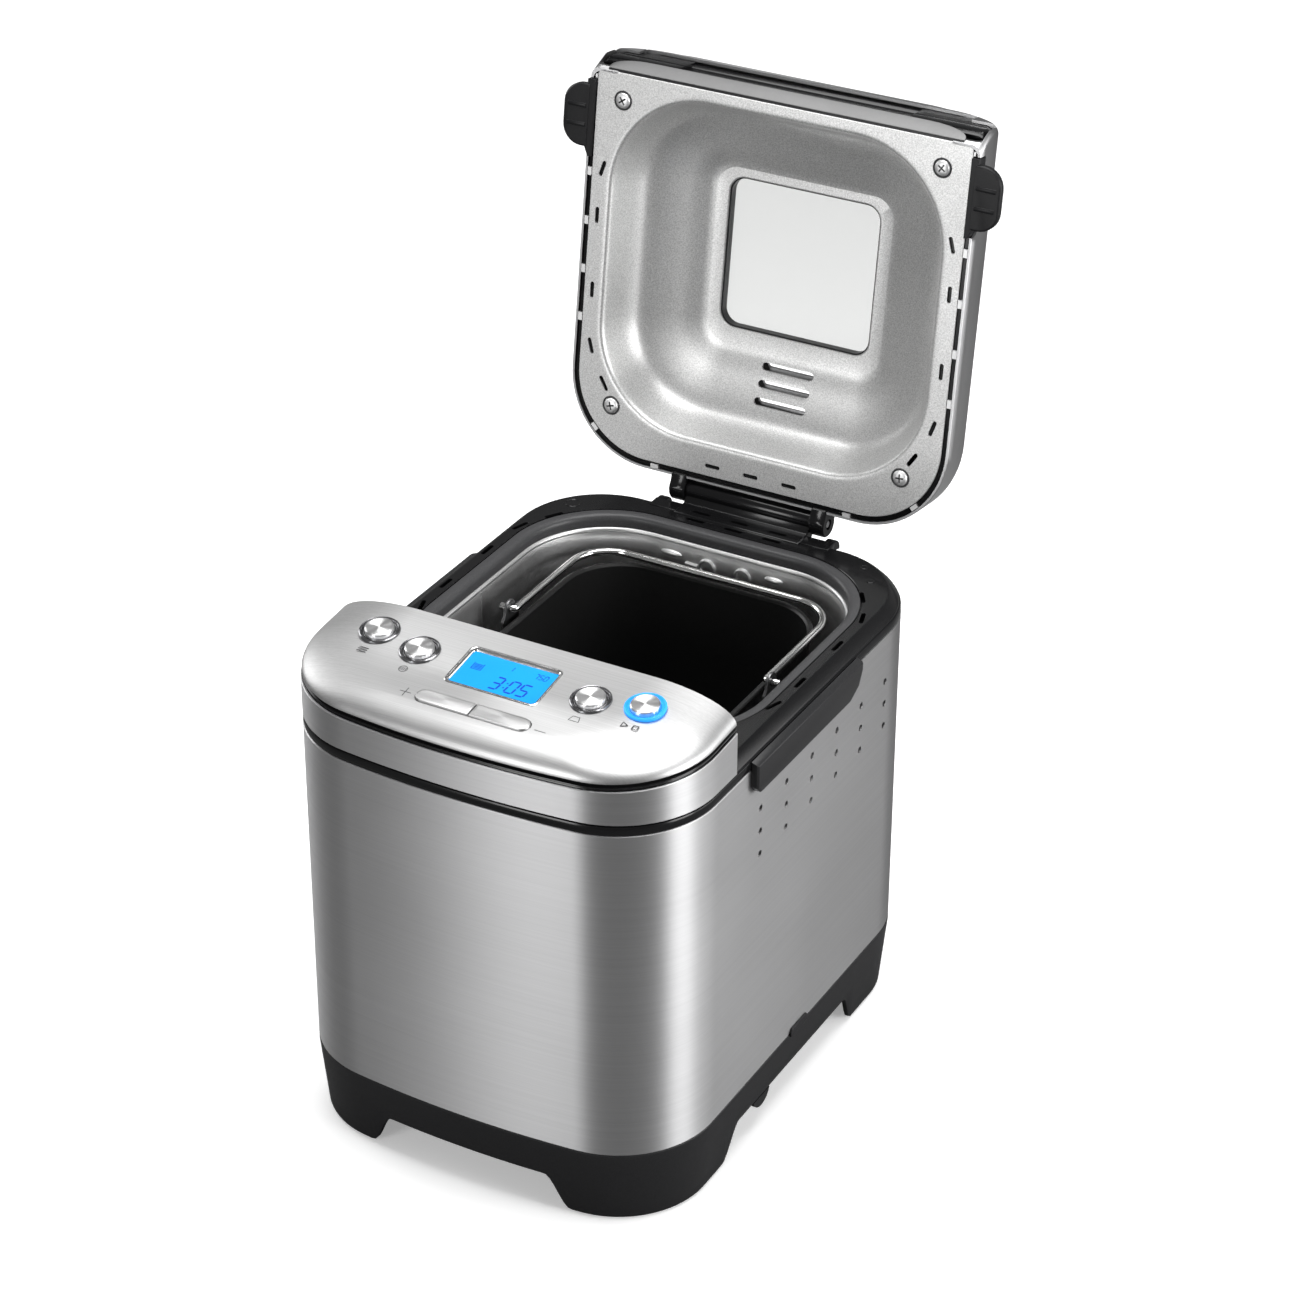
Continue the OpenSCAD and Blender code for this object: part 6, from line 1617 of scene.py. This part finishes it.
def screw_shape(name, r):
    """A pan head with a cross recess, head down, seated at z 0, and a black filler for the recess that paints its
    shade.
    """
    head = lathe(bmesh.new(), [(0, -1.45), (r * 0.45, -1.4), (r * 0.78, -1.1), (r * 0.95, -0.6), (r, -0.1), (r, 0.3),
                               (0, 0.3)], 32, False)
    obj = finish_mesh(name, head)
    cross = bmesh.new()
    a, b = r * 0.56, 0.46
    loop = [(-a, -b), (-b, -b), (-b, -a), (b, -a), (b, -b), (a, -b), (a, b), (b, b), (b, a), (-b, a), (-b, b), (-a, b)]
    cutter = finish_mesh("cross", prism(cross, loop, -2, -0.5))
    mod = obj.modifiers.new("cross", "BOOLEAN")
    mod.operation = "DIFFERENCE"
    mod.object = cutter
    bake_modifiers(obj)
    drop(cutter)
    # black filler inside the cross recess: painted shade in the hollow
    recess = finish_mesh(name + "_recess", prism(bmesh.new(), [(x * 0.99, y * 0.95) for x, y in loop], -1.2, -0.45))
    return obj, recess


def make_screws():
    shape, recess = screw_shape("lid_screw_shape", 4.2)
    places = [(s * (LINER_X - 16), LINER_Y0 + 14.5, LID_Z, 0) for s in (-1, 1)]
    places += [(s * (LINER_X - 21.5), LINER_Y1 - 26.2, LID_Z, 0) for s in (-1, 1)]
    heads = run_tree(marks("liner_screws", places, OPEN), SET_OUT,
                     {"Shape": shape, "Twist": math.pi / 2, "Seed": 11, "Finish": screw_bright})
    # black fillers in the cross recesses: painted shade in the screws' hollows
    recess_shades = run_tree(marks("screw_recesses", places, OPEN), SET_OUT,
                       {"Shape": recess, "Twist": math.pi / 2, "Seed": 11, "Finish": trim_black})
    drop(shape, recess)
    settle(heads, "lid", None, "screw_steel", "lid_screws")
    settle(recess_shades, "lid", None, "lid_black")
    bm = bmesh.new()
    for x, y, z, _ in places:
        washer = lathe(bmesh.new(), [(4.25, z - 0.05), (4.9, z - 0.3), (5.3, z - 0.2), (5.4, z + 0.1), (4.25, z + 0.1)], 32)
        washer.transform(Matrix.Translation((x, y, 0)))
        merge(bm, washer)
    settle(finish_mesh("screw_seats", bm, OPEN), "lid", flange_black, "lid_black")


def make_tabs():
    """Bright folded tabs that hold the liner across the dark gap."""
    shape = finish_mesh("tab_shape", block(bmesh.new(), -1.15, 1.15, -2.25, 2.25, 0.0, 1.1))
    places = [(s * (LINER_X + 1.35), y, LID_Z, 0) for s in (-1, 1)
              for y in [LINER_Y0 + 56 + 27 * k for k in range(4)]]
    corner = (HALF_W - 16.2, LINER_Y1 - 11.9)
    places += [(s * corner[0], corner[1], LID_Z, math.radians(s * 45)) for s in (-1, 1)]
    places += [(s * 58, LINER_Y1 + 2.0, LID_Z, math.pi / 2) for s in (-1, 1)]
    tabs = run_tree(marks("liner_tabs", places, OPEN), SET_OUT, {"Shape": shape, "Finish": screw_bright})
    drop(shape)
    settle(tabs, "lid", None, "screw_steel", "lid_clips")
    bm = bmesh.new()
    for s in (-1, 1):
        block(bm, *sorted((s * (LINER_X + 0.2), s * (LINER_X + 1.3))), LINER_Y0 + 3.0, LINER_Y0 + 5.2, LID_Z, LID_Z + 1.0)
    settle(finish_mesh("front_tabs", bm, OPEN), "lid", screw_bright, "screw_steel")


def make_handles():
    y0, y1 = HEAD_Y + 16.5, HEAD_Y + 50.5
    middle = (y0 + y1) / 2
    reach = 14.0
    for side, s in (("left", -1), ("right", 1)):
        bm = bmesh.new()
        base = [(LINER_X + 0.3, HEAD_Y + 13.6), (HALF_W + 0.5, HEAD_Y + 13.6), (HALF_W + 0.5, HEAD_Y + 50),
                (LINER_X + 2.2, HEAD_Y + 55.4), (LINER_X + 0.3, HEAD_Y + 55.4)]
        prism(bm, [(s * x, y) for x, y in base], LID_Z - 2.4, LID_Z + 5.8)
        r = 11.0
        plate = [(HALF_W - 1, y0)] + arc(HALF_W + reach - r, y0 + r, r, 270, 360, 8) \
            + arc(HALF_W + reach - r, y1 - r, r, 0, 90, 8) + [(HALF_W - 1, y1)]
        cy = middle

        def shrunk(k):
            return [(s * (HALF_W - 1 + (x - HALF_W + 1) * (1 - k * 0.06)), cy + (y - cy) * (1 - k * 0.05)) for x, y in plate]

        skin(bm, [at_z(shrunk(1), LID_Z - 2.9), at_z(shrunk(0), LID_Z - 2.1), at_z(shrunk(0), LID_Z + 0.8),
                  at_z(shrunk(1), LID_Z + 1.5)], cap_v=True)
        for k in (-1, 1):
            y = cy + k * 5.2
            x0, x1 = s * (HALF_W + 0.4), s * (HALF_W + 11.4)
            rib = arc(0, 0, 1.3, 0, 180, 6)
            skin(bm, [[(x, y + p[0], LID_Z - 2.8 - p[1] * 0.5) for p in rib] for x in (x0, x1)], cap_v=True)
        obj = finish_mesh(f"lift_tab_{side}", bm)
        bevel(obj, 0.45, 2, 40)
        bake_modifiers(obj)
        obj.data.transform(scaled_matrix(OPEN))
        settle(obj, "lid", tab_black, "handle_grey", f"lid_handle_{side}")


# ---------- inner pieces keep their CAD shape and get their finish ----------
KEPT = {
    "bottom_cover": base_black, "base_screws": screw_chrome, "chassis_plate": plain_steel,
    "motor_body": motor_grey, "motor_shaft": plain_steel, "motor_pulley": nylon, "motor_fan": nylon,
    "drive_belt": rubber, "large_pulley": nylon, "drive_shaft": plain_steel, "drive_coupler": cast_alloy,
    "bearing_housing": cast_alloy, "shaft_bush": bronze, "heater_element": heater_dark,
    "heater_brackets": plain_steel, "temperature_sensor": plain_steel, "pan_socket": plain_steel,
    "cord_gland": base_black, "lcd_module": trim_black, "control_pcb": board_green, "power_pcb": board_green,
    "pan_base": pan_alloy, "pan_bush": bronze, "pan_spindle": plain_steel,
}


def paint_kept():
    for name, material in KEPT.items():
        paint(nodes[name], material)


# ---------- studio ----------
CAMERA = {"azimuth": 28.96, "elevation": 30.24, "roll": 0.17, "distance": 1.99553,
          "target": (-0.03759, 0.0760, 0.170), "lens": 101.58}


def make_camera():
    az, el, roll = (math.radians(CAMERA[k]) for k in ("azimuth", "elevation", "roll"))
    back = Vector((math.sin(az) * math.cos(el), -math.cos(az) * math.cos(el), math.sin(el)))
    right = Vector((math.cos(az), math.sin(az), 0))
    up = back.cross(right)
    turned_right = right * math.cos(roll) + up * math.sin(roll)
    turned_up = up * math.cos(roll) - right * math.sin(roll)
    data = bpy.data.cameras.new("camera")
    data.lens = CAMERA["lens"]
    data.sensor_width = 36.0
    data.clip_end = 50.0
    camera = bpy.data.objects.new("camera", data)
    bpy.context.scene.collection.objects.link(camera)
    turn = Matrix((turned_right, turned_up, back)).transposed().to_4x4()
    camera.matrix_world = Matrix.Translation(Vector(CAMERA["target"]) + back * CAMERA["distance"]) @ turn
    bpy.context.scene.camera = camera


def softbox(name, place, aim, size, power):
    data = bpy.data.lights.new(name, "AREA")
    data.shape = "RECTANGLE"
    data.size, data.size_y = size
    data.energy = power
    light = bpy.data.objects.new(name, data)
    bpy.context.scene.collection.objects.link(light)
    way = Vector(aim) - Vector(place)
    light.matrix_world = Matrix.Translation(place) @ way.to_track_quat("-Z", "Y").to_matrix().to_4x4()
    return light


def floor_white():
    """Pale to the camera, and greyer in what the object reflects, as under a draped studio."""
    f = Finish("floor_white", (0.93, 0.93, 0.93), 0.8, 0.0, Specular_IOR_Level=0.1)
    path = add(f.tree, "ShaderNodeLightPath")
    seen = maths(f.tree, "MAXIMUM", path.outputs["Is Camera Ray"], path.outputs["Is Transmission Ray"])
    f.shade(seen, 0.16, 1.0, 0.0, 1.0)
    f.link(seen, f.shader.inputs["Emission Color"])
    f.set("Emission Strength", 0.3)
    return f.mat


AIR = 0.2


def make_studio():
    bm = bmesh.new()
    reach = 9000
    prism(bm, [(-reach, -reach), (reach, -reach), (reach, reach), (-reach, reach)], -10, -0.2)
    floor = finish_mesh("studio_floor", bm)
    paint(floor, floor_white())
    world = bpy.data.worlds.new("studio_air")
    world.use_nodes = True
    tree = world.node_tree
    path = add(tree, "ShaderNodeLightPath")
    seen = maths(tree, "MAXIMUM", path.outputs["Is Camera Ray"], path.outputs["Is Transmission Ray"])
    air = maths(tree, "ADD", maths(tree, "MULTIPLY", seen, 1.0 - AIR), AIR)
    tree.nodes["Background"].inputs["Color"].default_value = (1, 1, 1, 1)
    tree.links.new(air, tree.nodes["Background"].inputs["Strength"])
    bpy.context.scene.world = world
    softbox("front_strip", (-0.5, -1.936, 0.62), (0, -0.036, 0.1), (0.46, 1.2), 15)
    softbox("right_strip", (1.9, -0.036, 0.62), (0, -0.036, 0.1), (0.9, 1.2), 30)
    softbox("side_sheet", (1.05, 0.584, 0.45), (0.1, -0.036, 0.15), (0.7, 0.8), 4.5)
    softbox("left_wall", (-2.0, 0.264, 1.0), (0, -0.036, 0.2), (0.9, 1.4), 14)
    softbox("overhead", (0.0, 0.214, 2.3), (0, -0.036, 0.2), (1.8, 1.4), 52)
    bpy.context.scene.view_settings.view_transform = "Standard"


make_camera()
make_studio()
make_base()
make_feet()
make_casing()
make_clips()
make_deck()
make_trims()
make_band()
make_head_frame()
make_fascia()
make_buttons()
make_keys()
make_display()
make_marks()
make_chamber()
make_pan()
make_bail()
make_ears()
make_paddle()
make_liner()
make_shell()
make_lid_frame()
make_window()
make_screws()
make_tabs()
make_handles()
paint_kept()
